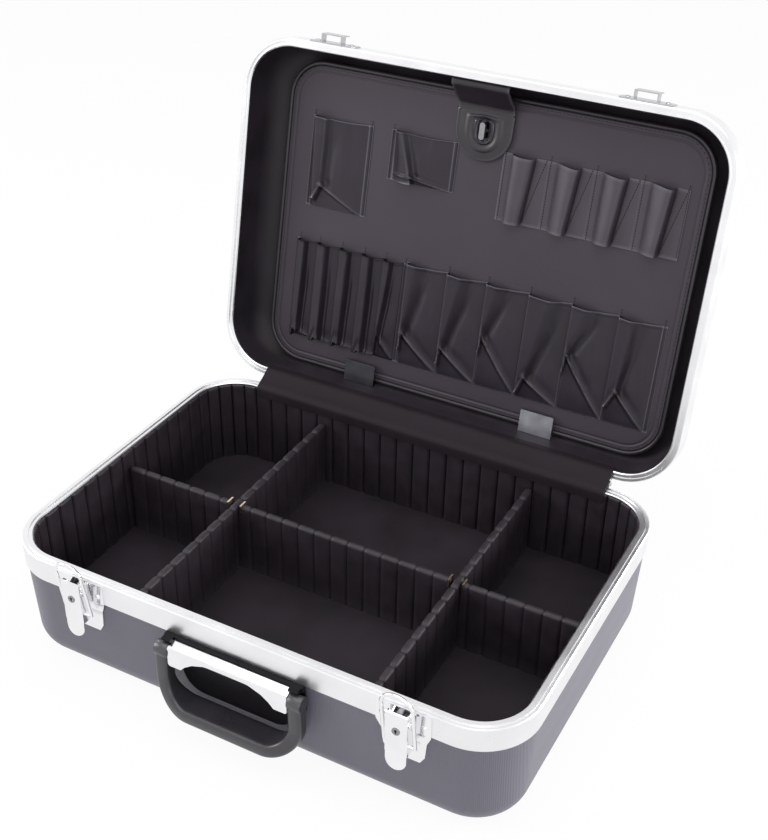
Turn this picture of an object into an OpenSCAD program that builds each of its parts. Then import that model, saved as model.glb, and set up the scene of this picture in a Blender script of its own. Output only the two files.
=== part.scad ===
// Hard tool case: two moulded shells in aluminium frames, joined by a piano hinge,
// with loose ribbed dividers in the base and a pocketed tool panel in the lid.
// Millimetres. +X to the right along the hinge, +Y to the back, +Z up.
// The origin is at the middle of the flat underside that the case stands on.
// The lid is drawn open; its parts are written as if it were shut and then turned.

/* [Case] */
// Width over the frames, along the hinge
case_w = 460; // [380:1:560]
// Depth over the frames, front to back
case_d = 320; // [280:1:380]
// Height of the base, from the ground to its rim
base_h = 109; // [95:1:150]
// Height of the lid, from its rim to its top
lid_h = 50; // [46:1:70]
// Radius of the upright corners of the frames
corner_r = 49; // [40:1:60]
// Angle that the lid stands open at
lid_open = 102; // [80:1:110]
// Gap between the two rims with the lid shut
rim_gap = 0.6; // [0.4:0.1:1.5]

/* [Shells] */
// Wall of both shells
shell_t = 3; // [2:0.1:4]
// Radius of the bottom edge of the base shell
base_edge_r = 24; // [20:1:32]
// Radius of the top edge of the lid shell
lid_edge_r = 24; // [16:1:26]
// How far the base shell draws in, from the frame to its bottom edge
base_draft = 3; // [1:0.1:10]
// How far the lid shell draws in, from the frame to its top edge
lid_draft = 0.8; // [0.2:0.1:3]
// Clearance of a shell inside its frame
shell_fit = 0.3; // [0.1:0.05:0.6]

/* [Frames] */
// Height of the outer band of each frame
band_h = 21; // [16:0.5:28]
// Wall of the frame sections
band_t = 1.4; // [1:0.1:2]
// Width of the base rim
base_rim_w = 9; // [8:0.1:12]
// Width of the lid rim
lid_rim_w = 7.4; // [7:0.1:11]
// Height of the sealing tongue on the base rim
tongue_h = 1; // [0.6:0.1:1.4]
// Width of the sealing tongue
tongue_w = 1.4; // [1:0.1:2]
// Clearance of the tongue in its groove, each way
tongue_fit = 0.6; // [0.4:0.1:1]

/* [Interior] */
// Height of the floor above the ground
floor_z = 25; // [20:1:32]
// Thickness of the floor pad
floor_t = 4; // [2:0.5:6]
// Thickness of the ribbed wall liner
liner_t = 3; // [2:0.1:4]
// Depth of the pressed grooves in liner and dividers
rib_groove = 1.1; // [0.5:0.1:1.5]
// Spacing of the pressed grooves
rib_pitch = 16.5; // [10:0.5:25]
// Thickness of the lid lining
lining_t = 1.5; // [1:0.1:2.5]

/* [Dividers] */
// Thickness of the divider boards
divider_t = 7; // [5:0.5:9]
// Drop of the divider tops below the base rim
divider_drop = 16.5; // [10:0.5:30]
// Place of the left cross divider
cross_left_x = -104; // [-140:1:-60]
// Place of the right cross divider
cross_right_x = 110; // [60:1:140]
// Clearance of a divider in its slots and at its ends
divider_fit = 0.5; // [0.3:0.1:1]

/* [Hinge] */
// How far the hinge stops short of the curve of the corners
hinge_end_gap = 3; // [2:0.5:30]
// Distance of the hinge pin behind the frames
pin_back = 5; // [4.8:0.1:7]
// Diameter of the hinge pin
pin_d = 3; // [2:0.1:3.6]
// Outer diameter of the hinge knuckles
knuckle_d = 6.4; // [6:0.1:7]
// Number of knuckles over both leaves
knuckle_count = 15; // [9:2:21]
// Thickness of the hinge leaves
leaf_t = 1.2; // [0.8:0.1:1.4]
// Running clearance of the hinge
hinge_fit = 0.05; // [0.02:0.01:0.1]

/* [Latches] */
// Distance of each latch from the side of the case
latch_inset = 85.5; // [75:0.5:105]
// Width of the latch lever
lever_w = 18; // [16:0.5:20]
// Sheet thickness of the latch plate and lever
latch_t = 1.2; // [1:0.1:1.4]
// Diameter of the bail wire
bail_d = 3; // [2.4:0.1:3.2]
// Width of the bail between the middles of its legs
bail_w = 25; // [24:0.5:28]
// Reach of the bail from its pivot to the middle of its arch
bail_len = 53; // [51:0.5:55]
// Angle that the bail leans out at
bail_lean = 8.5; // [7:0.5:15]
// How far the strike stands out from the frame
strike_out = 8.5; // [8:0.1:9]

/* [Handle] */
// Width of the handle over its arms
handle_w = 132; // [120:1:150]
// Drop of the handle from its pins to the middle of its grip
handle_drop = 51; // [45:1:60]
// Thickness of the handle arms
arm_t = 12; // [10:0.5:13]
// Height of the grip section
grip_h = 14; // [12:0.5:18]
// Depth of the grip section
grip_d = 24; // [16:0.5:25]
// Diameter of the handle pins
handle_pin_d = 4; // [3:0.1:5]

/* [Tool panel] */
// Gap between the tool panel board and the side of the frame, on average
panel_side_gap = 31; // [28:0.5:40]
// Gap between the tool panel board and the front or back of the frame, on average
panel_end_gap = 19; // [18:0.5:30]
// Thickness of the tool panel board
panel_t = 3; // [2:0.5:4]
// Depth of the panel face below the lid rim
panel_w0 = 33; // [31:0.5:35]
// Diameter of the piping round the panel
piping_d = 4; // [3:0.5:5]
// Thickness of the pocket leatherette
pocket_t = 1.2; // [0.8:0.1:1.6]
// Depth of the pockets
pocket_d = 9; // [7:0.5:11]
// Width of the tall pocket between its seams
tall_w = 54; // [40:0.5:58]
// Width of the wide pocket between its seams
wide_w = 64; // [50:0.5:68]
// Width of each narrow pocket between its seams
narrow_w = 23.4; // [20:0.1:26]
// Length of the tall pocket
tall_l = 83; // [60:1:86]
// Length of the wide pocket
wide_l = 44; // [36:1:80]
// Length of the tool loops
loop_l = 61; // [40:1:80]
// Length of the narrow pockets
narrow_l = 96; // [80:1:102]
// Length of the deep pockets
deep_l = 98; // [80:1:104]
// Distance of the lower row of pockets from the foot of the panel
row_foot = 16; // [12:1:24]
// Distance of the turn button from the head of the panel
turn_inset = 29; // [27:0.5:32]

/* [Hidden] */
$fn = 48;
corner_steps = 10;                       // facets round a quarter corner of a shell
latch_x = case_w/2 - latch_inset;
hinge_len = case_w - 2*corner_r - 2*hinge_end_gap;
panel_w = case_w - 2*panel_side_gap;
panel_h = case_d - 2*panel_end_gap;
pin_y = case_d/2 + pin_back;             // hinge axis
pin_z = base_h + rim_gap/2;
flange_t = band_t + 0.2;                 // thickness of the base rim
groove_depth = tongue_h + tongue_fit - rim_gap/2;
lid_flange_t = groove_depth + band_t;    // thickness of the lid rim, round its groove
lip_o = band_t + shell_fit*2 + shell_t;  // inner lip, just inside the shell's wall
shell_o = band_t + shell_fit;            // outer face of a shell under its band
tongue_o = 3.6;                          // place of the tongue on the rim
dark = "#26262a";
plastic = "#34353a";
cloth = "#1f1c1e";
bright = "#d9dadd";

// ---------- shared forms ----------

// Rounded rectangle of size w x d with true arcs
module rounded_rect(w, d, r) {
    square([w - 2*r, d], center = true);
    square([w, d - 2*r], center = true);
    for (x = [-1, 1], y = [-1, 1])
        translate([x*(w/2 - r), y*(d/2 - r)]) circle(r);
}

// Section swept round a rounded rectangle. Points are [distance inwards, height].
module swept_frame(w, d, r, section) {
    long_side = w - 2*r;
    short_side = d - 2*r;
    for (a = [0, 180]) rotate(a) {
        translate([w/2, short_side/2, 0]) rotate([90, 0, 0]) linear_extrude(short_side)
            polygon([for (p = section) [-p[0], p[1]]]);
        translate([-long_side/2, d/2, 0]) rotate([90, 0, 90]) linear_extrude(long_side)
            polygon([for (p = section) [-p[0], p[1]]]);
        for (m = [0, 1]) mirror([m, 0, 0]) translate([w/2 - r, d/2 - r, 0])
            rotate_extrude(angle = 90, $fn = 96) polygon([for (p = section) [r - p[0], p[1]]]);
    }
}

// One closed ring of points of a rounded rectangle, drawn in by o, at height z
function ring_points(w, d, r, o, z) = [
    for (c = [0:3], i = [0:corner_steps])
        let (a = 90*(c + i/corner_steps), q = max(r - o, 4),
             x = (c == 0 || c == 3) ? 1 : -1, y = (c < 2) ? 1 : -1)
        [x*(w/2 - o - q) + q*cos(a), y*(d/2 - o - q) + q*sin(a), z]];

// Closed solid through rings of equal count: with flat ends, or closed on itself
module loft(rings, endless = false) {
    n = len(rings[0]);
    count = len(rings);
    sides = [for (k = [0:count - (endless ? 1 : 2)], i = [0:n - 1], half = [0, 1])
        let (a = k*n + i, b = k*n + (i + 1) % n, a2 = (a + n) % (n*count), b2 = (b + n) % (n*count))
        half == 0 ? [a, b2, b] : [a, a2, b2]];
    ends = [[for (i = [0:n - 1]) i], [for (i = [n - 1:-1:0]) (count - 1)*n + i]];
    polyhedron([for (ring = rings) each ring], endless ? sides : concat(sides, ends));
}

// Dome head of a rivet, its flat side on z = 0
module rivet_head(r, h) {
    ball = (r*r + h*h)/(2*h);
    intersection() {
        translate([0, 0, h - ball]) sphere(ball);
        cylinder(r = r, h = h);
    }
}

// Opens the lid: what is drawn with the shut lid's rim plane at z = 0 goes to its place
module on_lid() {
    translate([0, pin_y, pin_z]) rotate([-lid_open, 0, 0]) translate([0, -pin_y, rim_gap/2])
        children();
}

// Places front furniture: x across, y inwards from the band's face, z from the base rim
module on_front(x = 0) {
    translate([x, -case_d/2, base_h]) children();
}

// Profile in [distance outwards, height] drawn out across the case by a width
module across(width, x = 0) {
    translate([x - width/2, 0, 0]) rotate([90, 0, 90]) linear_extrude(width)
        mirror([1, 0]) children();
}

// ---------- shells, frames and linings ----------

// Distance that a shell lies inside the frame's outer face, at depth t below its rim:
// straight under the band, then drawing in, then round its edge
function shell_in(t, h, draft, edge_r) =
    t <= band_h ? shell_o :
    t <= h - edge_r ? shell_o + draft*(t - band_h)/(h - edge_r - band_h) :
    shell_o + draft + edge_r - sqrt(max(0, edge_r*edge_r - pow(t - (h - edge_r), 2)));

function edge_depths(h, edge_r, steps) =
    [for (i = [0:steps]) h - edge_r + edge_r*sin(90*i/steps)];

// One moulded shell, open side down, its rim plane at z = 0 and its crown at z = h.
// It starts just inside the frame's rim, which is flange thick.
module shell(h, draft, edge_r, flange) {
    top_gap = flange + shell_fit;
    outer_depths = concat([top_gap, band_h], edge_depths(h, edge_r, 6));
    inner_r = edge_r - shell_t;
    inner_depths = concat([top_gap, band_h], edge_depths(h - shell_t, inner_r, 5));
    inner = [for (t = inner_depths)
        ring_points(case_w, case_d, corner_r,
            shell_in(t, h - shell_t, draft, inner_r) + shell_t, t)];
    outer = [for (t = outer_depths)
        ring_points(case_w, case_d, corner_r, shell_in(t, h, draft, edge_r), t)];
    loft([for (k = [len(inner) - 1:-1:0]) inner[k], for (ring = outer) ring]);
}

module base_shell() color(plastic)
    translate([0, 0, base_h]) rotate([180, 0, 0]) shell(base_h, base_draft, base_edge_r, flange_t);

module lid_shell() color(plastic) on_lid()
    shell(lid_h, lid_draft, lid_edge_r, lid_flange_t);

// Section of the base frame: band, rim with its tongue, and inner lip
module base_frame() color(bright) translate([0, 0, base_h])
    swept_frame(case_w, case_d, corner_r, [
        [0, -band_h], [0, -0.8], [0.8, 0], [tongue_o, 0], [tongue_o, tongue_h],
        [tongue_o + tongue_w, tongue_h], [tongue_o + tongue_w, 0], [base_rim_w - 0.8, 0],
        [base_rim_w, -0.8], [base_rim_w, -flange_t], [lip_o + band_t, -flange_t],
        [lip_o + band_t, -band_h/2], [lip_o, -band_h/2], [lip_o, -flange_t],
        [band_t, -flange_t], [band_t, -band_h]]);

// Section of the lid frame, with the groove that takes the tongue
module lid_frame() {
    g0 = tongue_o - tongue_fit;
    g1 = tongue_o + tongue_w + tongue_fit;
    color(bright) on_lid() swept_frame(case_w, case_d, corner_r, [
        [0, band_h], [0, 0.8], [0.8, 0], [g0, 0],
        [g0, groove_depth], [g1, groove_depth], [g1, 0], [lid_rim_w - 0.8, 0],
        [lid_rim_w, 0.8], [lid_rim_w, lid_flange_t], [band_t, lid_flange_t], [band_t, band_h]]);
}

// The base shell's inner face at height z above the ground
function base_inner(z) =
    shell_in(base_h - z, base_h - shell_t, base_draft, base_edge_r - shell_t) + shell_t;

module floor_pad() color(cloth) translate([0, 0, floor_z - floor_t]) linear_extrude(floor_t)
    let (o = base_inner(floor_z - floor_t) + 0.3)
    rounded_rect(case_w - 2*o, case_d - 2*o, corner_r - o);

// Ring of the ribbed liner face: every third point is pressed in as a groove
function ribbed_ring(o, z, groove) =
    let (r = corner_r - o, sx = case_w - 2*corner_r, sy = case_d - 2*corner_r,
         nx = 2*floor(sx/rib_pitch/2) + 1, ny = 2*floor(sy/rib_pitch/2) + 1, nc = 5)
    [for (side = [0:3])
        let (along = side % 2 == 0 ? sy : sx, n = side % 2 == 0 ? ny : nx,
             half = side % 2 == 0 ? case_w/2 - o : case_d/2 - o)
        each concat(
            [for (i = [0:n - 1], k = [0:3])
                let (s = -along/2 + along*(i + [0, 0.12, 0.5, 0.88][k])/n,
                     d = half - groove*[-1, 0.25, 0.7, 0.25][k])
                turned([d, s, z], side)],
            [for (i = [0:nc - 1], k = [0:3])
                let (a = 90*(i + [0, 0.12, 0.5, 0.88][k])/nc,
                     q = r - groove*[-1, 0.25, 0.7, 0.25][k])
                turned([half - r + q*cos(a), along/2 + q*sin(a), z], side)])];
function turned(p, side) =
    let (a = 90*side) [p[0]*cos(a) - p[1]*sin(a), p[0]*sin(a) + p[1]*cos(a), p[2]];

module wall_liner() {
    top = base_h - flange_t - 0.3;
    back_top = lip_o + band_t + 0.3;
    back_low = base_inner(floor_z) + 0.3;
    color(cloth) loft([
        ribbed_ring(back_low + liner_t, floor_z, rib_groove),
        ribbed_ring(back_top + liner_t, top, rib_groove),
        ribbed_ring(back_top, top, 0),
        ribbed_ring(back_low, floor_z, 0)], endless = true);
}

// ---------- hinge ----------

knuckle_len = hinge_len/knuckle_count;

// Spans of the knuckles that belong to one leaf: the odd or the even ones
function knuckles(odd) = [for (i = [odd ? 1 : 0 : 2 : knuckle_count - 1]) -hinge_len/2 + i*knuckle_len];

// One leaf, drawn around the pin's axis for the side above the pin
module hinge_leaf(odd) {
    face = -pin_back;                       // back face of the frame
    foot = rim_gap/2 + 1.5;
    tall = band_h - 3;
    gap = 0.2;
    difference() {
        union() {
            translate([-hinge_len/2, face, foot]) cube([hinge_len, leaf_t, tall - foot]);
            for (x = knuckles(odd)) translate([x + gap, 0, 0]) {
                rotate([0, 90, 0]) cylinder(d = knuckle_d, h = knuckle_len - 2*gap);
                translate([0, face, foot])
                    rotate([90, 0, 90]) linear_extrude(knuckle_len - 2*gap)
                    polygon([[0, 0], [leaf_t, -0.4], [pin_back - 1, -1], [pin_back + 1.4, 0.6],
                        [leaf_t, 4], [0, 4]]);
            }
        }
        translate([-hinge_len/2 - 1, 0, 0]) rotate([0, 90, 0])
            cylinder(d = pin_d + 2*hinge_fit, h = hinge_len + 2);
    }
}

module hinge_leaf_base() color(bright)
    translate([0, pin_y, pin_z]) mirror([0, 0, 1]) hinge_leaf(false);

// The lid's leaf has heels that meet the other leaf and stop the lid when it is open
module hinge_leaf_lid() color(bright) on_lid() translate([0, pin_y, -rim_gap/2]) {
    hinge_leaf(true);
    heel = -pin_back + leaf_t + 0.25;
    for (x = knuckles(true)) translate([x + 2, 0, 0]) rotate([lid_open, 0, 0])
        rotate([90, 0, 90]) linear_extrude(knuckle_len - 4)
        polygon([[-2.4, -1.8], [heel, -3.2], [heel, -5.6], [heel + 1.2, -5.6], [-0.6, -3]]);
}

module hinge_pin() color(bright) translate([-hinge_len/2 - 0.8, pin_y, pin_z])
    rotate([0, 90, 0]) cylinder(d = pin_d, h = hinge_len + 1.6);

// Rivet heads along a leaf
module hinge_rivets() {
    for (i = [0:6]) translate([(i - 3)*hinge_len/7, case_d/2 + leaf_t, band_h/2 + 1])
        rotate([-90, 0, 0]) rivet_head(2.6, 1.2);
}
module hinge_rivets_base() color(bright)
    translate([0, 0, base_h]) mirror([0, 0, 1]) hinge_rivets();
module hinge_rivets_lid() color(bright) on_lid() hinge_rivets();

// Leatherette strip over the hinge line: from the base liner, over both rims, into the lid
module hinge_cover() {
    strip_t = 0.8;
    base_face = case_d/2 - (lip_o + band_t + 0.3 + liner_t + rib_groove + 0.9);
    lid_face = case_d/2 - lid_rim_w - 0.3;
    hem = 9;
    // a point of the shut lid, [y, height above the lid rim], at its open place
    function opened(y, w) =
        let (a = y - pin_y, b = w + rim_gap/2)
        [pin_y + a*cos(lid_open) + b*sin(lid_open), pin_z - a*sin(lid_open) + b*cos(lid_open)];
    outer = [[base_face, base_h - hem], [base_face, base_h + 0.4],
        opened(lid_face, -0.4), opened(lid_face, hem)];
    inner = [opened(lid_face - strip_t, hem), opened(lid_face - strip_t, -1),
        [base_face - strip_t, base_h + 1], [base_face - strip_t, base_h - hem]];
    color(cloth) translate([-hinge_len/2, 0, 0]) rotate([90, 0, 90])
        linear_extrude(hinge_len) polygon(concat(outer, inner));
}

// ---------- latches ----------
// Side profiles are in [distance outwards from the frame's face, height above the base rim].

lever_pin = [8, -9];            // axis of the lever
bail_pin = [5.5, -32.5];        // axis of the bail
lever_face = 12.2;              // outer face of the lever
lever_top = 1.5;
lever_low = -52.5;
lever_step = -21.5;               // the lower part of the lever steps back here
cheek_low = -38;                // lower end of the lever's side cheeks
tongue_bend = -46;              // the tongue turns out below this
lock_h = -15.2;                   // middle of the lock
lock_r = 3.2;
pin_fit = 0.05;
bail_side = bail_len - bail_w/2;
slope = base_draft/(base_h - base_edge_r - band_h);
// Outer face of the base shell, as a distance outwards, at a height below the band
function shell_face(z) = -shell_o - slope*(-band_h - z);

module disc_x(x0, x1, p, r) translate([x0, -p[0], p[1]]) rotate([0, 90, 0])
    cylinder(r = r, h = x1 - x0);

// Stamped plate: flat on the band, cranked down onto the shell, with two ears for the lever
module latch_plate() {
    low = -53;
    crank = -31;
    difference() {
        union() {
            intersection() {
                across(60) polygon([[0, -2.5], [0, -band_h - 0.2], [shell_face(crank) + 0.15, crank],
                    [shell_face(low) + 0.15, low], [shell_face(low) + 1.2, low],
                    [shell_face(crank) + 1.3, crank], [1, -band_h + 0.4], [1, -2.5]]);
                rotate([90, 0, 0]) linear_extrude(60, center = true)
                    polygon([[-22, -2.5], [22, -2.5], [22.3, -22], [18.5, -31], [17, -46], [13, low],
                        [-13, low], [-17, -46], [-18.5, -31], [-22.3, -22]]);
            }
            for (m = [0, 1]) mirror([m, 0, 0]) across(latch_t, lever_w/2 - latch_t*1.5 - 0.4)
                polygon([[0.6, -2.9], [8, -6.3], [10.6, -8], [10.6, -10], [8, -11.7], [0.6, -15.5]]);
        }
        disc_x(-20, 20, lever_pin, 1.5);
    }
}
module latch_plate_left() color(bright) on_front(-latch_x) latch_plate();
module latch_plate_right() color(bright) on_front(latch_x) latch_plate();

module latch_pins() color(bright) for (x = [-latch_x, latch_x]) on_front(x) {
    disc_x(-lever_w/2 - 0.2, lever_w/2 + 0.2, lever_pin, 1.5);
    for (m = [0, 1]) mirror([m, 0, 0]) disc_x(lever_w/2 + 0.2, lever_w/2 + 1, lever_pin, 2.4);
}

module latch_rivets() color(bright) for (x = [-latch_x, latch_x], s = [-17, 17])
    on_front(x + s) translate([0, -1, -14]) rotate([90, 0, 0]) rivet_head(2.6, 1.4);

// Pressed lever: a face with a rounded tongue, two cheeks, and holes for its pins and lock
module lever() {
    t = latch_t;
    tongue_r = lever_w/2 - 0.4;
    difference() {
        union() {
            across(lever_w) polygon([[lever_face - t, lever_top], [lever_face, lever_top - 0.6],
                [lever_face, lever_step], [lever_face - 0.8, lever_step - 0.5],
                [lever_face - 0.8, cheek_low], [lever_face - 0.8 - t, cheek_low],
                [lever_face - 0.8 - t, lever_step], [lever_face - t, lever_step + 0.4]]);
            intersection() {
                across(lever_w) polygon([[lever_face - 0.8, cheek_low + 0.01],
                    [lever_face - 0.8, tongue_bend], [lever_face + 0.6, lever_low - 1],
                    [lever_face + 0.6 - t, lever_low - 1], [lever_face - 0.8 - t, tongue_bend],
                    [lever_face - 0.8 - t, cheek_low + 0.01]]);
                rotate([90, 0, 0]) linear_extrude(60, center = true) {
                    translate([0, lever_low + tongue_r]) circle(tongue_r);
                    translate([-tongue_r, lever_low + tongue_r])
                        square([2*tongue_r, cheek_low - lever_low]);
                }
            }
            for (m = [0, 1]) mirror([m, 0, 0]) across(t, lever_w/2 - t/2)
                polygon([[3, -7], [9.2, lever_top], [lever_face - t, lever_top],
                    [lever_face - t, lever_step], [lever_face - 1, cheek_low], [6, cheek_low],
                    [3, -36]]);
        }
        disc_x(-20, 20, lever_pin, 1.5 + pin_fit);
        disc_x(-20, 20, bail_pin, bail_d/2 + pin_fit);
        translate([0, 0, lock_h]) rotate([90, 0, 0]) cylinder(r = lock_r + pin_fit, h = 30);
    }
}
module lever_left() color(bright) on_front(-latch_x) lever();
module lever_right() color(bright) on_front(latch_x) lever();

// Lock: a plug with a keyway, turning in the lever, and its cam behind
module lock() {
    face = lever_face + 0.5;
    translate([0, 0, lock_h]) rotate([90, 0, 0]) {
        difference() {
            union() {
                translate([0, 0, 5.4]) cylinder(r = lock_r, h = face - 5.4);
                translate([0, 0, 8]) cylinder(r = lock_r + 0.9, h = 2.4);
            }
            translate([-0.5, -1.9, face - 3]) cube([1, 3.8, 4]);
            translate([0, 0.8, face - 3]) cylinder(r = 1.1, h = 4);
        }
        translate([-1.6, -6, 4.2]) cube([3.2, 8, 1.2]);
    }
}
module lock_left() color("#77787c") on_front(-latch_x) lock();
module lock_right() color("#77787c") on_front(latch_x) lock();

// Wire bail: two inward ends in the lever, two legs and an arch
module bail() {
    r = bail_d/2;
    end_x = lever_w/2 - 2;
    translate([0, -bail_pin[0], bail_pin[1]]) rotate([bail_lean, 0, 0]) {
        for (m = [0, 1]) mirror([m, 0, 0]) {
            translate([end_x, 0, 0]) rotate([0, 90, 0]) cylinder(r = r, h = bail_w/2 - end_x);
            translate([bail_w/2, 0, 0]) sphere(r);
            translate([bail_w/2, 0, 0]) cylinder(r = r, h = bail_side);
        }
        translate([0, 0, bail_side]) rotate([90, 0, 0])
            rotate_extrude(angle = 180, $fn = 64) translate([bail_w/2, 0]) circle(r);
    }
}
module bail_left() color(bright) on_front(-latch_x) bail();
module bail_right() color(bright) on_front(latch_x) bail();

// Strike on the lid's front band: a plate with a raised keeper whose hood holds the bail
module strike() {
    half = bail_w/2 - bail_d/2 - 0.75;
    wall = 1;
    low = 3.5;
    arch_z = bail_pin[1] + bail_side;       // middle of the bail's arch when latched
    cheek_top = arch_z + sqrt(pow(bail_w/2 - bail_d/2, 2) - half*half) - rim_gap - 0.3;
    rotate([90, 0, 0]) linear_extrude(wall) polygon([[-23, 6], [-20, 4], [-half, 4], [-half, low],
        [half, low], [half, 4], [20, 4], [23, 6], [23, 16], [20, 18], [-20, 18], [-23, 16]]);
    for (m = [0, 1]) mirror([m, 0, 0]) across(wall, half - wall/2)
        polygon([[0.5, low], [strike_out - wall, low], [strike_out - wall, cheek_top],
            [0.5, cheek_top]]);
    across(2*half) polygon([[strike_out - wall, low], [strike_out, low], [strike_out, 15],
        [strike_out - 0.4, 18], [strike_out - wall - 0.4, 18], [strike_out - wall, 15]]);
}
module on_lid_front(x) on_lid() translate([x, -case_d/2, 0]) children();
module strike_left() color(bright) on_lid_front(-latch_x) strike();
module strike_right() color(bright) on_lid_front(latch_x) strike();
module strike_rivets() color(bright) for (x = [-latch_x, latch_x], s = [-17, 17])
    on_lid_front(x + s) translate([0, -1, 11]) rotate([90, 0, 0]) rivet_head(2.5, 1.3);

// ---------- handle ----------

handle_pin = [8, -32];                 // axis of the handle, as for the latches
arm_in = handle_w/2 - arm_t;           // inner face of an arm
ear_t = 1.5;
ear_x = arm_in - 0.3 - ear_t/2;        // middle of a bracket ear
knuckle_r = 6.5;
grip_out = 2.5;                        // how much further out the grip lies than the pins
back_low = -76;                        // foot of the plate behind the handle
web_out = 12.2;                        // outer face of the bracket's front

// Moulded rail under the band, with a plate down behind the handle
module handle_rail() {
    top = -band_h - 0.2;
    color(dark) on_front() {
        across(handle_w - 8) polygon([[shell_face(top) + 0.1, top], [3.4, top], [3.4, top - 1.6],
            [2.6, top - 2], [2.6, top - 2.6], [3.4, top - 3], [3.4, top - 4.2],
            [shell_face(-27) + 1.6, -27], [shell_face(-47) + 1.6, -47], [shell_face(-47) + 0.1, -47]]);
        intersection() {
            across(2*arm_in) polygon([[shell_face(-46) + 0.1, -46], [shell_face(-46) + 1.6, -46],
                [shell_face(back_low) + 1.6, back_low], [shell_face(back_low) + 0.1, back_low]]);
            rotate([90, 0, 0]) linear_extrude(60, center = true) hull()
                for (x = [-1, 1]) {
                    translate([x*(arm_in - 5), -47]) square(8, center = true);
                    translate([x*(arm_in - 22), back_low + 18]) circle(18);
                }
        }
        for (m = [0, 1]) mirror([m, 0, 0]) across(8, handle_w/2 - 9)
            polygon([[3, top], [8.5, top], [8.5, top - 2.2], [6, top - 3.6], [3, top - 3.6]]);
    }
}

// Back of the bracket, on the rail, at a height below the base rim
function bracket_back(z) = shell_face(z) + 1.7;

// Plated bracket on the rail, with an ear at each end for the handle pins
module handle_bracket() {
    far = ear_x + ear_t/2;
    color(bright) on_front() difference() {
        union() {
            intersection() {
                across(2*far) polygon([[bracket_back(-27.2), -27.2], [bracket_back(-44), -44],
                    [bracket_back(-44) + 1.2, -44], [bracket_back(-27.2) + 1.2, -27.2]]);
                rotate([90, 0, 0]) linear_extrude(60, center = true)
                    polygon([[-far + 7, -27], [far - 7, -27], [far, -33], [far, -41], [far - 6, -44],
                        [-far + 6, -44], [-far, -41], [-far, -33]]);
            }
            for (m = [0, 1]) mirror([m, 0, 0]) across(ear_t, ear_x)
                polygon([[bracket_back(-33) + 0.4, -33], [3.6, -25.4], [11, -26.2], [11.6, -29],
                    [11.6, -42], [9, -42], [bracket_back(-41) + 0.4, -41]]);
            across(2*far) polygon([[3.5, -24], [web_out - 1, -26], [web_out, -27], [web_out, -28.4],
                [web_out - 1.2, -28.4], [web_out - 1.2, -27.2], [3.5, -25.2]]);
            intersection() {
                across(2*far) polygon([[web_out - 1.2, -27.2], [web_out, -27.2], [web_out, -44],
                    [web_out - 1.2, -44]]);
                rotate([90, 0, 0]) linear_extrude(60, center = true) for (m = [0, 1])
                    mirror([m, 0]) polygon([[0, -27.2], [far, -27.2], [far, -42], [far - 1.5, -43.5],
                        [42, -43.5], [38, -39], [31, -34], [20, -30], [0, -28.4]]);
            }
        }
        disc_x(-80, 80, handle_pin, handle_pin_d/2);
    }
}

module handle_pins() color(bright) on_front() for (m = [0, 1]) mirror([m, 0, 0]) {
    disc_x(ear_x - ear_t/2, handle_w/2 - 3, handle_pin, handle_pin_d/2);
    disc_x(ear_x - ear_t/2 - 1.6, ear_x - ear_t/2, handle_pin, handle_pin_d/2 + 0.8);
}

// Rounded section of the handle, half sizes a across the bow and b along Y
function bow_section(a, b) = [for (i = [0:15])
    let (t = 22.5*i, c = cos(t), s = sin(t))
    [a*sign(c)*pow(abs(c), 0.55), b*sign(s)*pow(abs(s), 0.55)]];

// Moulded bow: arms, bent corners and a thicker grip, bored for the pins
module handle_bow() {
    corner = 36;
    arm_x = handle_w/2 - arm_t/2;
    turn_x = arm_x - corner;
    low = handle_pin[1] - handle_drop;
    // stations: [x, z, direction of the outer side, how far the section has grown]
    right_side = concat(
        [for (z = [handle_pin[1] - 1, -40, low + corner]) [arm_x, z, 0, 0]],
        [for (i = [1:6]) let (a = -90*i/6)
            [turn_x + corner*cos(a), low + corner + corner*sin(a), a, i/6]],
        [[turn_x*0.6, low, -90, 1], [0, low, -90, 1]]);
    left_side = [for (k = [len(right_side) - 2:-1:0]) let (s = right_side[k])
        [-s[0], s[1], -180 - s[2], s[3]]];
    stations = [for (k = [len(right_side) + len(left_side) - 1:-1:0])
        concat(right_side, left_side)[k]];
    rings = [for (s = stations)
        let (grow = s[3]*s[3]*(3 - 2*s[3]),
             a = arm_t/2 + (grip_h/2 - arm_t/2)*grow, b = arm_t/2 + (grip_d/2 - arm_t/2)*grow,
             y = handle_pin[0] + grip_out*grow)
        [for (p = bow_section(a, b)) [s[0] + p[0]*cos(s[2]), -y + p[1], s[1] + p[0]*sin(s[2])]]];
    color(dark) on_front() difference() {
        union() {
            loft(rings);
            for (m = [0, 1]) mirror([m, 0, 0]) disc_x(arm_in, handle_w/2, handle_pin, knuckle_r);
        }
        for (m = [0, 1]) mirror([m, 0, 0])
            disc_x(arm_in - 1, handle_w/2 - 2.7, handle_pin, handle_pin_d/2 + pin_fit);
    }
}

// ---------- lid interior ----------

panel_x = 4;                    // the panel sits a little to the right
panel_y = 4;                    // and towards the hinge
panel_r = 32;
clip_x = 92;
clip_w = 32;
strap_w = 54;
panel_head = panel_y - panel_h/2;       // edge of the board at the strap
panel_foot = panel_y + panel_h/2;       // edge of the board at the clips
panel_left = panel_x - panel_w/2;
panel_right = panel_x + panel_w/2;
turn_y = panel_head + turn_inset;       // place of the turn button
strap_t = 1.8;
fold = [-case_d/2 + 13, 12];     // where the strap flap bends, [y, height above the lid rim]

// The lining's inner face in the lid, as a distance in from the frame, at height w
function lining_in(w) =
    shell_in(w, lid_h - shell_t - lining_t, lid_draft, lid_edge_r - shell_t - lining_t)
    + shell_t + 0.1 + lining_t;

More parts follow.
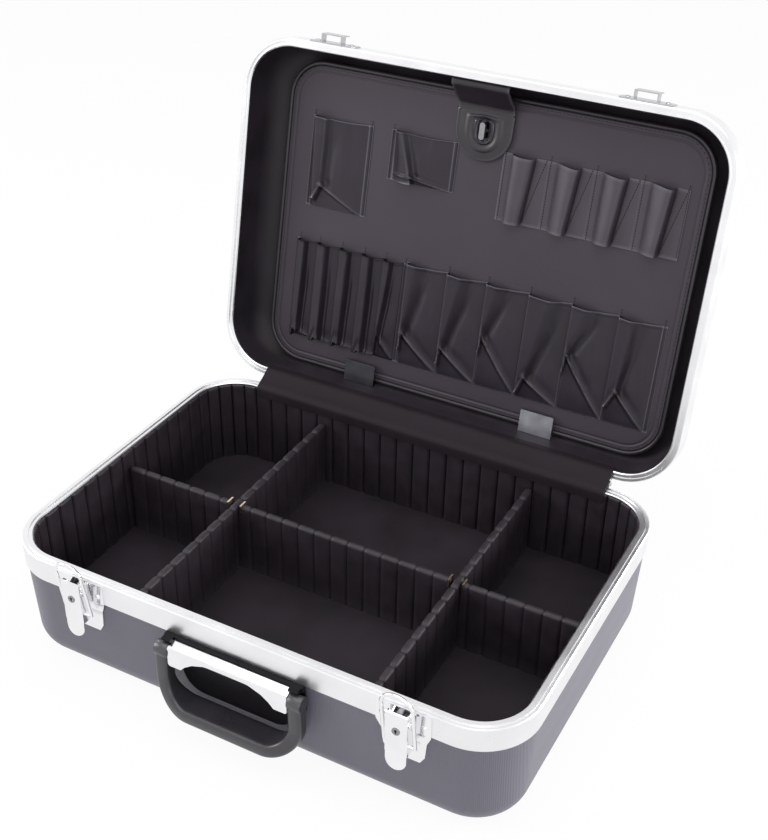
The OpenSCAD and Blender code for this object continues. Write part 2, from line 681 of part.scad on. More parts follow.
module lid_lining() {
    low = lid_flange_t + shell_fit + 0.2;
    inner_r = lid_edge_r - shell_t - lining_t;
    outer_r = lid_edge_r - shell_t;
    h1 = lid_h - shell_t - 0.1;
    h0 = h1 - lining_t;
    outer = [for (t = concat([low, band_h], edge_depths(h1, outer_r, 5)))
        ring_points(case_w, case_d, corner_r,
            shell_in(t, h1, lid_draft, outer_r) + shell_t + 0.1, t)];
    inner = [for (t = concat([low, band_h], edge_depths(h0, inner_r, 5)))
        ring_points(case_w, case_d, corner_r,
            shell_in(t, h0, lid_draft, inner_r) + shell_t + 0.1 + lining_t, t)];
    color(cloth) on_lid() loft([for (k = [len(inner) - 1:-1:0]) inner[k], for (r = outer) r]);
}

// Outline of a strip of thickness t along a line of points
function ribbon(line, t) =
    let (n = len(line),
         normals = [for (i = [0:n - 1])
            let (a = line[max(i - 1, 0)], b = line[min(i + 1, n - 1)], d = b - a)
            [-d[1], d[0]]/norm(d)])
    concat([for (i = [0:n - 1]) line[i] + normals[i]*t/2],
        [for (i = [n - 1:-1:0]) line[i] - normals[i]*t/2]);

// Section in [y, height] of the lid drawn out across it, its middle at x
module lid_strip(width, x, points) translate([x - width/2, 0, 0]) rotate([90, 0, 90])
    linear_extrude(width) polygon(points);

// Sheet clips: a flat face over the foot of the panel, and a foot on the lid's wall behind it
clip_t = 1;
clip_face_w = 27.5;              // front of the face, as a height above the lid rim
clip_foot_w = 36;                // inner end of the foot
clip_reach = 13.5;               // how far the face covers the panel
rivet_w = 32;                    // middle of the clips' rivets
rivet_flat = 4;                  // flat of the foot under each rivet, along w
function clip_y(w) = case_d/2 - lining_in(w) - 0.4;

module panel_clips() {
    lip_y = panel_foot - clip_reach;
    steps = [clip_face_w + clip_t, rivet_w - rivet_flat/2, rivet_w + rivet_flat/2, clip_foot_w];
    color(bright) on_lid() for (x = [-clip_x, clip_x]) lid_strip(clip_w, x, concat(
        [[lip_y, clip_face_w], [clip_y(clip_face_w), clip_face_w]],
        [for (w = steps) [clip_y(w), w]],
        [for (i = [3:-1:0]) [clip_y(steps[i]) - clip_t, steps[i]]],
        [[lip_y, clip_face_w + clip_t]]));
}
module clip_rivets() {
    outer = clip_y(rivet_w - rivet_flat/2);
    inner = clip_y(rivet_w + rivet_flat/2);
    color(bright) on_lid() for (x = [-clip_x, clip_x], s = [-9, 9])
        translate([x + s, (outer + inner)/2 - clip_t, rivet_w])
            rotate([90 + atan((outer - inner)/rivet_flat), 0, 0]) rivet_head(1.8, 0.7);
}

// Fixed end of the strap on the front wall of the lid
module strap_anchor() {
    top = 25;
    wall = -case_d/2 + lining_in(fold[1]) + 0.1;
    wall_top = -case_d/2 + lining_in(top) + 0.1;
    color(dark) on_lid() lid_strip(strap_w, 0, [[wall, fold[1] + 1],
        [wall + strap_t, fold[1] + 1], [wall + strap_t, band_h], [wall_top + strap_t, top],
        [wall_top, top], [wall, band_h]]);
}
module strap_rivets() color(bright) on_lid() for (s = [-17, 17])
    translate([s, -case_d/2 + lining_in(fold[1]) + 0.1 + strap_t, 18])
        rotate([-90, 0, 0]) rivet_head(2.6, 1.2);

// Strap flap: folds back over the top of the panel and ends round, with an eyelet
module strap_flap() {
    wall = -case_d/2 + lining_in(fold[1]) + 0.1;
    face = panel_w0 - 2.2;
    slot_r = 6;
    slot_l = 18.4;
    line = [[wall + strap_t/2, fold[1] + 0.7], [wall + strap_t/2 + 0.6, fold[1] - 1.6],
        [fold[0] - 2.6, fold[1] - 3.2], [fold[0] + 0.6, fold[1] - 2.6], [fold[0] + 3, fold[1]],
        [fold[0] + 15, face - 4], [fold[0] + 19, face - 0.9], [fold[0] + 24, face],
        [turn_y + strap_w/2 + 1, face]];
    color(dark) on_lid() difference() {
        union() {
            intersection() {
                lid_strip(strap_w, 0, ribbon(line, strap_t));
                linear_extrude(lid_h) {
                    translate([-strap_w/2, -case_d/2]) square([strap_w, case_d/2 + turn_y]);
                    translate([0, turn_y]) circle(strap_w/2);
                }
            }
            translate([0, turn_y, face - strap_t/2 - 0.8]) cylinder(r = 12.5, h = 0.9);
        }
        translate([0, turn_y, 0]) linear_extrude(lid_h) {
            square([2*slot_r, slot_l - 2*slot_r], center = true);
            for (s = [-1, 1]) translate([0, s*(slot_l/2 - slot_r)]) circle(slot_r);
        }
    }
}

module tool_panel() color("#3b3539") on_lid() translate([panel_x, panel_y, panel_w0])
    linear_extrude(panel_t) rounded_rect(panel_w, panel_h, panel_r);

// Piping round the edge of the board, flat where it meets it
module panel_piping() {
    r = piping_d/2;
    color(dark) on_lid() translate([panel_x, panel_y, panel_w0 + panel_t/2])
        swept_frame(panel_w + 2*r, panel_h + 2*r, panel_r + r,
            [for (i = [0:6]) let (a = 90 - 30*i) [r - r*cos(a), r*sin(a)]]);
}

// Row of open topped pockets sewn to the panel between seams, from y0 down to y1
module pocket_row(seams, y0, y1, shut = true) {
    t = pocket_t;
    d = pocket_d;
    n = len(seams) - 2;
    edge = 3;
    slant = [for (i = [0:n]) min(4, (seams[i + 1] - seams[i])*0.14)];
    front = [for (i = [0:n]) let (a = seams[i] + 1, b = seams[i + 1] - 1, s = slant[i])
        each [[a, t], [a + s, d], [b - s, d], [b, t]]];
    back = [for (i = [n:-1:0]) let (a = seams[i] + 1 + t, b = seams[i + 1] - 1 - t, s = slant[i])
        each [[b, 0], [b - s + t*0.3, d - t], [a + s - t*0.3, d - t], [a, 0]]];
    color(dark) on_lid() translate([0, y0, panel_w0]) rotate([-90, 0, 0]) {
        linear_extrude(y1 - y0) polygon(concat([[seams[0] - edge, t]], front,
            [[seams[n + 1] + edge, t], [seams[n + 1] + edge, 0]], back, [[seams[0] - edge, 0]]));
        if (shut) translate([0, 0, y1 - y0 - t]) linear_extrude(t) for (i = [0:n])
            let (a = seams[i] + 1.1, b = seams[i + 1] - 1.1, s = slant[i])
            polygon([[a, 0], [a + 0.1, t], [a + s, d - 0.05], [b - s, d - 0.05], [b - 0.1, t], [b, 0]]);
    }
}

// The wide pocket and the loops stand on either side of the strap, the tall pocket
// midway between the wide one and the edge; the lower row runs along the panel's foot.
row_start = panel_left + 17;
row_end = panel_right - 15.6;
deep_w = (row_end - row_start - 5*narrow_w)/6;
row_split = 3.2;                        // half the gap between narrow and deep pockets
row_low = panel_foot - row_foot;
loop_start = strap_w/2 - 6;
loop_w = (panel_right - 19.6 - loop_start)/4;
wide_right = -strap_w/2 + 1;
tall_mid = (panel_left + wide_right - wide_w)/2;
upper_top = turn_y + strap_w/2 - 5;     // mouth of the wide pocket
narrow_seams = [for (i = [0:5]) row_start + narrow_w*i - (i == 5 ? row_split : 0)];
deep_seams = [for (i = [0:6])
    row_start + 5*narrow_w + deep_w*i + (i == 0 ? row_split : 0)];
loop_seams = [for (i = [0:4]) loop_start + loop_w*i];

module tall_pocket()
    pocket_row([tall_mid - tall_w/2, tall_mid + tall_w/2], upper_top + 1, upper_top + 1 + tall_l);
module wide_pocket()
    pocket_row([wide_right - wide_w, wide_right], upper_top, upper_top + wide_l);
module tool_loops() pocket_row(loop_seams, upper_top - 2, upper_top - 2 + loop_l, false);
module narrow_pockets() pocket_row(narrow_seams, row_low - narrow_l, row_low);
module deep_pockets() pocket_row(deep_seams, row_low - deep_l, row_low);

// Plate on the panel for the turn button
module turn_plate() color(bright) on_lid() translate([0, turn_y, panel_w0 - 0.8]) difference() {
    cylinder(r = 11, h = 0.8);
    translate([0, 0, -1]) cylinder(r = 2.4 + pin_fit, h = 3);
}

// Turn button: a stem and a bar that passes the eyelet one way round only
module turn_button() {
    stem_top = panel_w0 - 2.2 - strap_t/2 - 0.8 - 0.5;
    color(bright) on_lid() translate([0, turn_y, 0]) {
        translate([0, 0, stem_top]) cylinder(r = 2.4, h = panel_w0 - stem_top);
        translate([0, 0, stem_top - 3]) linear_extrude(3) {
            square([5, 10], center = true);
            for (s = [-1, 1]) translate([0, 5*s]) circle(2.5);
        }
    }
}

// ---------- dividers ----------

divider_h = base_h - divider_drop - floor_z;
end_in = base_inner(floor_z) + 0.3 + liner_t + rib_groove + divider_fit;
long_len = case_w - 2*end_in;
cross_len = case_d - 2*end_in;
slot_z = floor_z + divider_h/2;

// Ribbed board of a given length along X, standing on the floor, with a rounded top
module divider_board(length) {
    n = 2*floor(length/rib_pitch/2) + 1;
    xs = [for (i = [0:n - 1], k = [0.02, 0.12, 0.5, 0.88, 0.98]) [(i + k)/n, k]];
    half = function (k) divider_t/2 - rib_groove*(k < 0.1 || k > 0.9 ? 1 : k == 0.5 ? 0 : 0.25);
    side = [for (p = xs) [length*(p[0] - 0.5), half(p[1])]];
    translate([0, 0, floor_z]) intersection() {
        linear_extrude(divider_h) polygon(concat(side, [for (i = [len(side) - 1:-1:0])
            [side[i][0], -side[i][1]]]));
        translate([-length/2, 0, 0]) rotate([90, 0, 90]) linear_extrude(length) {
            translate([-divider_t/2, 0]) square([divider_t, divider_h - divider_t/2]);
            translate([0, divider_h - divider_t/2]) circle(divider_t/2);
        }
    }
}

module long_divider() color(cloth) difference() {
    divider_board(long_len);
    for (x = [cross_left_x, cross_right_x])
        translate([x - divider_t/2 - divider_fit, -divider_t, slot_z])
        cube([divider_t + 2*divider_fit, 2*divider_t, divider_h]);
}

module cross_divider(x) color(cloth) difference() {
    translate([x, 0, 0]) rotate(90) divider_board(cross_len);
    translate([x - divider_t, -divider_t/2 - divider_fit, floor_z - 1])
        cube([2*divider_t, divider_t + 2*divider_fit, divider_h/2 + 1 + divider_fit]);
}
module cross_divider_left() cross_divider(cross_left_x);
module cross_divider_right() cross_divider(cross_right_x);

// Small wire clips over the long divider's top beside each slot
module divider_staples() color("#c9b27a") for (x = [cross_left_x, cross_right_x], m = [-1, 1])
    translate([x + m*(divider_t/2 + divider_fit + 2.5), 0, floor_z + divider_h])
    translate([-0.8, 0, 0]) rotate([90, 0, 90]) linear_extrude(1.6) difference() {
        translate([-divider_t/2 - 0.8, -7]) square([divider_t + 1.6, 7.9]);
        translate([-divider_t/2 - 0.1, -8]) square([divider_t + 0.2, 8.1]);
    }

base_shell();
base_frame();
wall_liner();
floor_pad();
hinge_leaf_base();
hinge_pin();
hinge_rivets_base();
hinge_cover();
latch_plate_left();
latch_plate_right();
latch_pins();
latch_rivets();
handle_rail();
handle_bracket();
handle_pins();
lever_left();
lever_right();
lock_left();
lock_right();
bail_left();
bail_right();
handle_bow();
lid_shell();
lid_frame();
lid_lining();
hinge_leaf_lid();
hinge_rivets_lid();
strike_left();
strike_right();
strike_rivets();
panel_clips();
clip_rivets();
strap_anchor();
strap_rivets();
strap_flap();
tool_panel();
panel_piping();
tall_pocket();
wide_pocket();
tool_loops();
narrow_pockets();
deep_pockets();
turn_plate();
turn_button();
long_divider();
cross_divider_left();
cross_divider_right();
divider_staples();
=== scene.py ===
"""Dresses the hard tool case: shells, leatherette, pockets, metal, light and camera."""
import math

import bmesh
import bpy
from mathutils import Matrix, Vector, noise

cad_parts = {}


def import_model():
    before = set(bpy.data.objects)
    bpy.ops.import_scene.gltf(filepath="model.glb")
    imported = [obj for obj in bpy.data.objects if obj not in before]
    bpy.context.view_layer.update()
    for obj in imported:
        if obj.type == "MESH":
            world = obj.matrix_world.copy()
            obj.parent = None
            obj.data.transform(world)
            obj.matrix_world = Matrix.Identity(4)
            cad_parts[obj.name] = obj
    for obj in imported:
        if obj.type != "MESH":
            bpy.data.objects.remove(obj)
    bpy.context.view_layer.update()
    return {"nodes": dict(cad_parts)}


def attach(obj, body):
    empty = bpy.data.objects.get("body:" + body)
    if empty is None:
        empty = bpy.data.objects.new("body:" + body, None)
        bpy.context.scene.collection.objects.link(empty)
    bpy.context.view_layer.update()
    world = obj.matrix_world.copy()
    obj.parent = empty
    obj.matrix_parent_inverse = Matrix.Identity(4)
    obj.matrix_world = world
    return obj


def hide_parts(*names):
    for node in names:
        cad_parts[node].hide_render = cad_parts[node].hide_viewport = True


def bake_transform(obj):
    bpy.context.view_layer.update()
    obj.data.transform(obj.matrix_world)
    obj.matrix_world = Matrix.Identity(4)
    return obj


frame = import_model()

# ---------- sizes of the case, in millimetres, as the CAD has them ----------
# Over the frames, with the radius of their corners, and the heights of base and lid
CASE_W, CASE_D, CORNER = 460.0, 320.0, 49.0
BASE_H, LID_H = 109.0, 50.0
# The frames' outer bands, and the shells that sit inside them
BAND_H, BAND_T, SHELL_T, FIT = 21.0, 1.4, 3.0, 0.3
SHELL_O = BAND_T + FIT
# How far the shells draw in, the radius of their edges and how deep their rims sit
BASE_DRAFT, BASE_EDGE, BASE_RIM = 3.0, 24.0, 1.9
LID_DRAFT, LID_EDGE, LID_RIM = 0.8, 24.0, 3.0
# The hinge pin's line, the lid's rim over it, and how far the lid stands open
PIN_Y, PIN_Z, LID_RISE, OPEN = 165.0, 109.3, 0.3, math.radians(102)
# Inside the base: floor, wall liner, ribs, dividers and the places where these cross
FLOOR_Z, FLOOR_T = 25.0, 4.0
LINER_T, LINER_TOP, GLUE = 3.0, BASE_H - 1.9, 0.3
PITCH, GROOVE, CORNER_RIBS = 16.5, 1.1, 5
DIV_T, DIV_TOP, DIV_FIT = 7.0, BASE_H - 16.5, 0.5
CROSS = (-104.0, 110.0)
# The strip over the hinge: its length and thickness, and the faces that it lies on
HINGE_LEN, COVER_T, BASE_FACE, LID_FACE = 356.0, 0.8, 148.3, 152.3
# Inside the lid: lining, tool panel and the cord along its edge
LINING_T, LINING_GLUE = 1.5, 0.1
PANEL_W, PANEL_H, PANEL_R, PANEL_AT, PANEL_FACE = 398.0, 282.0, 32.0, 4.0, 33.0
PIPE_R, PIPE_W = 1.95, 33.9
# The strap: its button, fold, face on the panel, eyelet and fixed end
TURN_Y, STRAP_W, STRAP_T, FLAP_T = -108.0, 54.0, 1.8, 1.7
FOLD, STRAP_FACE = (-147.0, 12.0), PANEL_FACE - 2.2
EYELET_R, EYELET_L = 6.0, 18.4
ANCHOR_W = (13.0, 25.0)
# The handle: arms on their pins, and a grip that is wider than the arms
HANDLE_W, ARM, PIN_OUT, PIN_DROP, DROP, BEND = 132.0, 12.0, 8.0, -32.0, 51.0, 26.0
GRIP_H, GRIP_D, GRIP_OUT = 14.0, 24.0, 2.5


def world(x, y, z):
    """A point of the base, in millimetres, as Blender metres."""
    return (x / 1000, y / 1000, z / 1000)


def lid(x, y, w):
    """A point of the shut lid, w above its rim plane, at its place on the open lid."""
    a, b = y - PIN_Y, w + LID_RISE
    cos, sin = math.cos(OPEN), math.sin(OPEN)
    return world(x, PIN_Y + a * cos + b * sin, PIN_Z - a * sin + b * cos)


def ease(t):
    """A smooth step from 0 to 1."""
    t = min(1.0, max(0.0, t))
    return t * t * (3 - 2 * t)


def mix(a, b, t):
    """The value at t on the way from a to b."""
    return a + (b - a) * t


def hump(t, at, wide):
    """A bell of height 1 at a place."""
    return math.exp(-((t - at) / wide) ** 2)


# ---------- materials ----------
def add(nodes, kind, values=None, **settings):
    """A new shader node with its settings and with values for its inputs."""
    new = nodes.new("ShaderNode" + kind)
    for name, value in settings.items():
        setattr(new, name, value)
    for name, value in (values or {}).items():
        new.inputs[name].default_value = value
    return new


def calc(nodes, links, operation, *terms):
    """A math node over sockets and numbers."""
    new = add(nodes, "Math", operation=operation)
    for slot, term in enumerate(terms):
        if isinstance(term, float):
            new.inputs[slot].default_value = term
        else:
            links.new(term, new.inputs[slot])
    return new.outputs[0]


def span(nodes, links, value, **ends):
    """A socket's value carried from one range to another."""
    new = add(nodes, "MapRange", {name.replace("_", " "): end for name, end in ends.items()})
    links.new(value, new.inputs["Value"])
    return new.outputs["Result"]


def darkened(nodes, links, tint, factor):
    """The tint times a factor."""
    both = add(nodes, "Mix", {"Factor": 1}, data_type="RGBA", blend_type="MULTIPLY")
    links.new(tint, both.inputs["A"])
    links.new(factor, both.inputs["B"])
    return both.outputs["Result"]


def shade_hollows_light_edges(nodes, links, tint, edge_highlight):
    """The tint with painted shade in its hollows and a painted highlight colour on its sharp
    edges.
    """
    shape = nodes.new("ShaderNodeNewGeometry").outputs["Pointiness"]
    # painted shade: hollows, where the surface turns in, are multiplied darker
    hollow = span(nodes, links, shape, From_Min=0.44, From_Max=0.495, To_Min=0.25)
    # painted highlight: sharp edges are mixed towards the given highlight colour
    edge = span(nodes, links, shape, From_Min=0.52, From_Max=0.62)
    both = add(nodes, "Mix", {"B": list(edge_highlight) + [1]}, data_type="RGBA")
    links.new(edge, both.inputs["Factor"])
    links.new(darkened(nodes, links, tint, hollow), both.inputs["A"])
    return both.outputs["Result"]


def weave(nodes, links, where, size):
    """Height of a pressed weave: two slanting waves, one times the other."""
    waves = []
    for direction in ((1, 1, 1), (-1, 1, 1)):
        along = add(nodes, "VectorMath", {1: [c * size for c in direction]},
                    operation="DOT_PRODUCT")
        links.new(where, along.inputs[0])
        waves.append(calc(nodes, links, "SINE", along.outputs["Value"]))
    return calc(nodes, links, "MULTIPLY", *waves)


def height_of(nodes, links, where, kind, size):
    """Height texture: leather cells, fine noise, brushed lines or a pressed weave."""
    if kind == "leather":
        cells = add(nodes, "TexVoronoi", {"Scale": size}, feature="SMOOTH_F1")
        links.new(where, cells.inputs["Vector"])
        return cells.outputs["Distance"]
    if kind == "weave":
        return weave(nodes, links, where, size)
    texture = add(nodes, "TexNoise", {"Scale": size, "Detail": 3})
    if kind == "brushed":
        stretch = add(nodes, "VectorMath", {1: (0.03, 0.03, 1)}, operation="MULTIPLY")
        links.new(where, stretch.inputs[0])
        where = stretch.outputs["Vector"]
    links.new(where, texture.inputs["Vector"])
    return texture.outputs["Fac"]


def material(name, color, rough, metallic=0.0, vary=0.25, scale=30, bumps=(),
             rough_vary=0.08, specular=0.5, edge_highlight=None):
    """A procedural surface. vary is how far its colour clouds, the edge colour, if given, is a
    painted highlight on its edges, with painted shade in its hollows, and bumps are (kind,
    scale, strength, distance in metres)."""
    mat = bpy.data.materials.new(name)
    mat.use_nodes = True
    nodes, links = mat.node_tree.nodes, mat.node_tree.links
    shader = nodes["Principled BSDF"]
    shader.inputs["Metallic"].default_value = metallic
    shader.inputs["Specular IOR Level"].default_value = specular
    where = nodes.new("ShaderNodeTexCoord").outputs["Object"]

    cloud = add(nodes, "TexNoise", {"Scale": scale, "Detail": 5})
    links.new(where, cloud.inputs["Vector"])
    ramp = add(nodes, "ValToRGB")
    for k, (place, share) in enumerate(((0.3, 1 - vary), (0.7, 1 + vary))):
        ramp.color_ramp.elements[k].position = place
        ramp.color_ramp.elements[k].color = [min(1, c * share) for c in color] + [1]
    links.new(cloud.outputs["Fac"], ramp.inputs["Fac"])
    tint = ramp.outputs["Color"]
    # painted shade in the hollows and a painted highlight on the edges
    if edge_highlight:
        tint = shade_hollows_light_edges(nodes, links, tint, edge_highlight)
    links.new(tint, shader.inputs["Base Color"])

    gloss = span(nodes, links, cloud.outputs["Fac"], To_Min=max(0.02, rough - rough_vary),
                 To_Max=min(1, rough + rough_vary))
    links.new(gloss, shader.inputs["Roughness"])

    before = None
    for kind, size, strength, distance in bumps:
        bump = add(nodes, "Bump", {"Strength": strength, "Distance": distance})
        links.new(height_of(nodes, links, where, kind, size), bump.inputs["Height"])
        if before:
            links.new(before, bump.inputs["Normal"])
        before = bump.outputs["Normal"]
    if before:
        links.new(before, shader.inputs["Normal"])
    return mat


# An edge colour given to a material is a painted highlight on its edges, and with it the hollows
# get painted shade.
MATS = {
    "abs": material("satin_abs", (0.115, 0.11, 0.143), 0.4, scale=12, vary=0.05,
                    bumps=(("weave", 2600, 0.35, 0.0004), ("noise", 900, 0.08, 0.0002)),
                    specular=0.6, edge_highlight=(0.2, 0.195, 0.23)),
    "aluminium": material("satin_aluminium", (0.85, 0.85, 0.865), 0.3, 1.0, vary=0.03,
                          scale=40, bumps=(("brushed", 900, 0.12, 0.0002),)),
    "liner": material("ribbed_leatherette", (0.023, 0.0175, 0.0232), 0.5, vary=0.25, scale=60,
                      bumps=(("leather", 900, 0.35, 0.0003), ("noise", 150, 0.2, 0.001)),
                      specular=0.4, edge_highlight=(0.055, 0.046, 0.056)),
    "floor": material("floor_leatherette", (0.0205, 0.0155, 0.021), 0.66, vary=0.3, scale=25,
                      bumps=(("leather", 800, 0.3, 0.0003), ("noise", 20, 0.12, 0.002)),
                      specular=0.3),
    "cover": material("hinge_leatherette", (0.018, 0.0135, 0.0175), 0.6, vary=0.12, scale=30,
                      bumps=(("leather", 900, 0.3, 0.0003), ("noise", 40, 0.15, 0.001)),
                      specular=0.15),
    "lining": material("lid_lining", (0.023, 0.0178, 0.0245), 0.55, vary=0.3, scale=30,
                       bumps=(("leather", 700, 0.3, 0.0003), ("noise", 25, 0.15, 0.002)),
                       specular=0.35),
    "panel": material("panel_leatherette", (0.0445, 0.034, 0.047), 0.55, vary=0.09, scale=14,
                      bumps=(("leather", 1100, 0.25, 0.0003), ("noise", 18, 0.15, 0.002)),
                      specular=0.42),
    "pocket": material("pocket_leatherette", (0.0255, 0.0195, 0.029), 0.36, vary=0.12, scale=40,
                       bumps=(("leather", 1300, 0.15, 0.0002), ("noise", 70, 0.15, 0.001)),
                       specular=0.34, edge_highlight=(0.19, 0.175, 0.205)),
    "loops": material("loop_leatherette", (0.052, 0.042, 0.057), 0.4, vary=0.1, scale=40,
                      bumps=(("leather", 1300, 0.15, 0.0002), ("noise", 70, 0.12, 0.001)),
                      edge_highlight=(0.12, 0.11, 0.13)),
    "strap": material("strap_leather", (0.02, 0.0155, 0.022), 0.36, vary=0.15, scale=50,
                      bumps=(("leather", 1000, 0.2, 0.0003),), specular=0.55,
                      edge_highlight=(0.08, 0.07, 0.085)),
    "piping": material("piping_vinyl", (0.024, 0.0195, 0.026), 0.36, vary=0.12, scale=60,
                       bumps=(("leather", 1500, 0.2, 0.0002),)),
    "thread": material("thread", (0.011, 0.009, 0.012), 0.7, vary=0.3, scale=500,
                       bumps=(("noise", 4000, 0.5, 0.0002),)),
    "nickel": material("nickel_plate", (0.86, 0.86, 0.875), 0.14, 1.0, vary=0.03, scale=60,
                       bumps=(("noise", 250, 0.05, 0.0003),), rough_vary=0.06),
    "strike": material("strike_plate", (0.5, 0.5, 0.52), 0.24, 1.0, vary=0.08, scale=120,
                       bumps=(("noise", 500, 0.08, 0.0002),)),
    "steel": material("plated_steel", (0.72, 0.72, 0.75), 0.26, 1.0, vary=0.05, scale=80,
                      bumps=(("noise", 600, 0.08, 0.0002),)),
    "zinc": material("zinc_plate", (0.52, 0.52, 0.58), 0.38, 1.0, vary=0.12, scale=90,
                     bumps=(("brushed", 500, 0.15, 0.0002),)),
    "lock": material("lock_metal", (0.3, 0.3, 0.31), 0.28, 1.0, vary=0.1, scale=200,
                     bumps=(("noise", 1200, 0.1, 0.0002),)),
    "dark_metal": material("dark_plate", (0.055, 0.05, 0.06), 0.22, 1.0, vary=0.15,
                           scale=200, bumps=(("noise", 900, 0.1, 0.0002),)),
    # Black plastic rail, coloured darker than the handle's own black: painted shade for the
    # shadow behind the handle.
    "rail": material("black_with_painted_shade", (0.0075, 0.0065, 0.0085), 0.3, vary=0.15, scale=50,
                     bumps=(("noise", 60, 0.1, 0.001),), specular=0.13),
    "moulded": material("moulded_black", (0.032, 0.0295, 0.035), 0.3, vary=0.12, scale=50,
                        bumps=(("noise", 1800, 0.15, 0.0002),), specular=0.65,
                        edge_highlight=(0.085, 0.082, 0.09)),
    "wire": material("staple_wire", (0.75, 0.62, 0.4), 0.25, 1.0, vary=0.08, scale=200,
                     bumps=(("noise", 1500, 0.1, 0.0002),)),
}


def darker_left(mat, share, reach):
    """Dulls a material towards the case's left, its colour falling to a share of itself there."""
    nodes, links = mat.node_tree.nodes, mat.node_tree.links
    socket = nodes["Principled BSDF"].inputs["Base Color"]
    tint = socket.links[0].from_socket
    split = add(nodes, "SeparateXYZ")
    links.new(nodes.new("ShaderNodeTexCoord").outputs["Object"], split.inputs[0])
    factor = span(nodes, links, split.outputs["X"], From_Min=-reach, From_Max=reach,
                  To_Min=share)
    links.new(darkened(nodes, links, tint, factor), socket)


darker_left(MATS["zinc"], 0.2, 0.03)

# ---------- CAD nodes that keep their shape ----------
KEEP = {
    "aluminium": ["base_frame", "lid_frame"],
    "steel": ["hinge_leaf_base", "hinge_leaf_lid", "hinge_pin", "hinge_rivets_base",
              "hinge_rivets_lid"],
    "nickel": ["latch_plate_left", "latch_plate_right", "latch_pins", "latch_rivets",
               "handle_bracket", "handle_pins", "lever_left", "lever_right", "bail_left",
               "bail_right", "strap_rivets"],
    "lock": ["lock_left", "lock_right", "turn_button"],
    "zinc": ["panel_clips", "clip_rivets"],
    "dark_metal": ["turn_plate"],
    "rail": ["handle_rail"],
    "strike": ["strike_left", "strike_right", "strike_rivets"],
    "wire": ["divider_staples"],
}
for kept_mat, kept_names in KEEP.items():
    for kept_name in kept_names:
        kept = frame["nodes"][kept_name].data.materials
        kept.clear()
        kept.append(MATS[kept_mat])


# ---------- mesh helpers: a shape is its points and its faces ----------
def piece(name, shape, mat, body, sharp=40, replaces=()):
    """A mesh object in the row frame, smooth up to an edge angle, riding on a body."""
    mesh = bpy.data.meshes.new(name)
    mesh.from_pydata(shape[0], [], shape[1])
    mesh.validate()
    work = bmesh.new()
    work.from_mesh(mesh)
    bmesh.ops.recalc_face_normals(work, faces=work.faces)
    for f in work.faces:
        f.smooth = True
    for e in work.edges:
        e.smooth = e.calc_face_angle(0) < math.radians(sharp)
    work.to_mesh(mesh)
    work.free()
    mesh.materials.append(MATS[mat])
    ob = bpy.data.objects.new(name, mesh)
    bpy.context.scene.collection.objects.link(ob)
    if body:
        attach(ob, body)
    if replaces:
        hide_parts(*replaces)
    return ob


def sew_down(ob):
    """Measures half a sheet's surface area; the value is not kept."""
    shape = bmesh.new()
    shape.from_mesh(ob.data)
    area = sum(f.calc_area() for f in shape.faces) / 2
    shape.free()


def loft(rings, endless=False):
    """A skin through rings of equal count, capped at its ends or closed on itself."""
    n, count = len(rings[0]), len(rings)
    faces = []
    for k in range(count if endless else count - 1):
        for i in range(n):
            j, m = (i + 1) % n, (k + 1) % count
            faces.append((k * n + i, k * n + j, m * n + j, m * n + i))
    if not endless:
        faces.append(tuple(range(n - 1, -1, -1)))
        faces.append(tuple((count - 1) * n + i for i in range(n)))
    return [p for ring in rings for p in ring], faces


def solid_sheet(nu, nv, front, back):
    """Closed solid between two surfaces over u, v in 0..1, on a grid of nu by nv."""
    verts = [side(i / nu, j / nv) for side in (front, back)
             for j in range(nv + 1) for i in range(nu + 1)]
    size = (nu + 1) * (nv + 1)

    def at(i, j):
        return j * (nu + 1) + i

    faces = []
    for j in range(nv):
        for i in range(nu):
            a, b, c, d = at(i, j), at(i + 1, j), at(i + 1, j + 1), at(i, j + 1)
            faces += [(a, b, c, d), (size + d, size + c, size + b, size + a)]
    for i in range(nu):
        for j in (0, nv):
            faces.append((at(i, j), at(i + 1, j), size + at(i + 1, j), size + at(i, j)))
    for j in range(nv):
        for i in (0, nu):
            faces.append((at(i, j), at(i, j + 1), size + at(i, j + 1), size + at(i, j)))
    return verts, faces


def join(parts):
    """Several shapes as one."""
    verts, faces = [], []
    for v, f in parts:
        faces += [tuple(len(verts) + i for i in face) for face in f]
        verts += v
    return verts, faces


def rounded(w, d, r, o, steps=16):
    """Points [x, y] round a rounded rectangle drawn in by o."""
    q = max(r - o, 4)
    points = []
    for c, (sx, sy) in enumerate(((1, 1), (-1, 1), (-1, -1), (1, -1))):
        for i in range(steps + 1):
            a = math.radians(90 * (c + i / steps))
            points.append((sx * (w / 2 - o - q) + q * math.cos(a),
                           sy * (d / 2 - o - q) + q * math.sin(a)))
    return points


def fine(points, step):
    """The closed line with its long stretches divided."""
    out = []
    for i, p in enumerate(points):
        q = points[(i + 1) % len(points)]
        count = max(1, int(math.dist(p, q) / step))
        for k in range(count):
            out.append((mix(p[0], q[0], k / count), mix(p[1], q[1], k / count)))
    return out


def ribbon(line, t):
    """The two faces of a strip of thickness t along a line."""
    up, down = [], []
    for i, p in enumerate(line):
        q, r = line[max(i - 1, 0)], line[min(i + 1, len(line) - 1)]
        dx, dy = r[0] - q[0], r[1] - q[1]
        size = math.hypot(dx, dy)
        nx, ny = -dy / size * t / 2, dx / size * t / 2
        up.append((p[0] + nx, p[1] + ny))
        down.append((p[0] - nx, p[1] - ny))
    return up, down


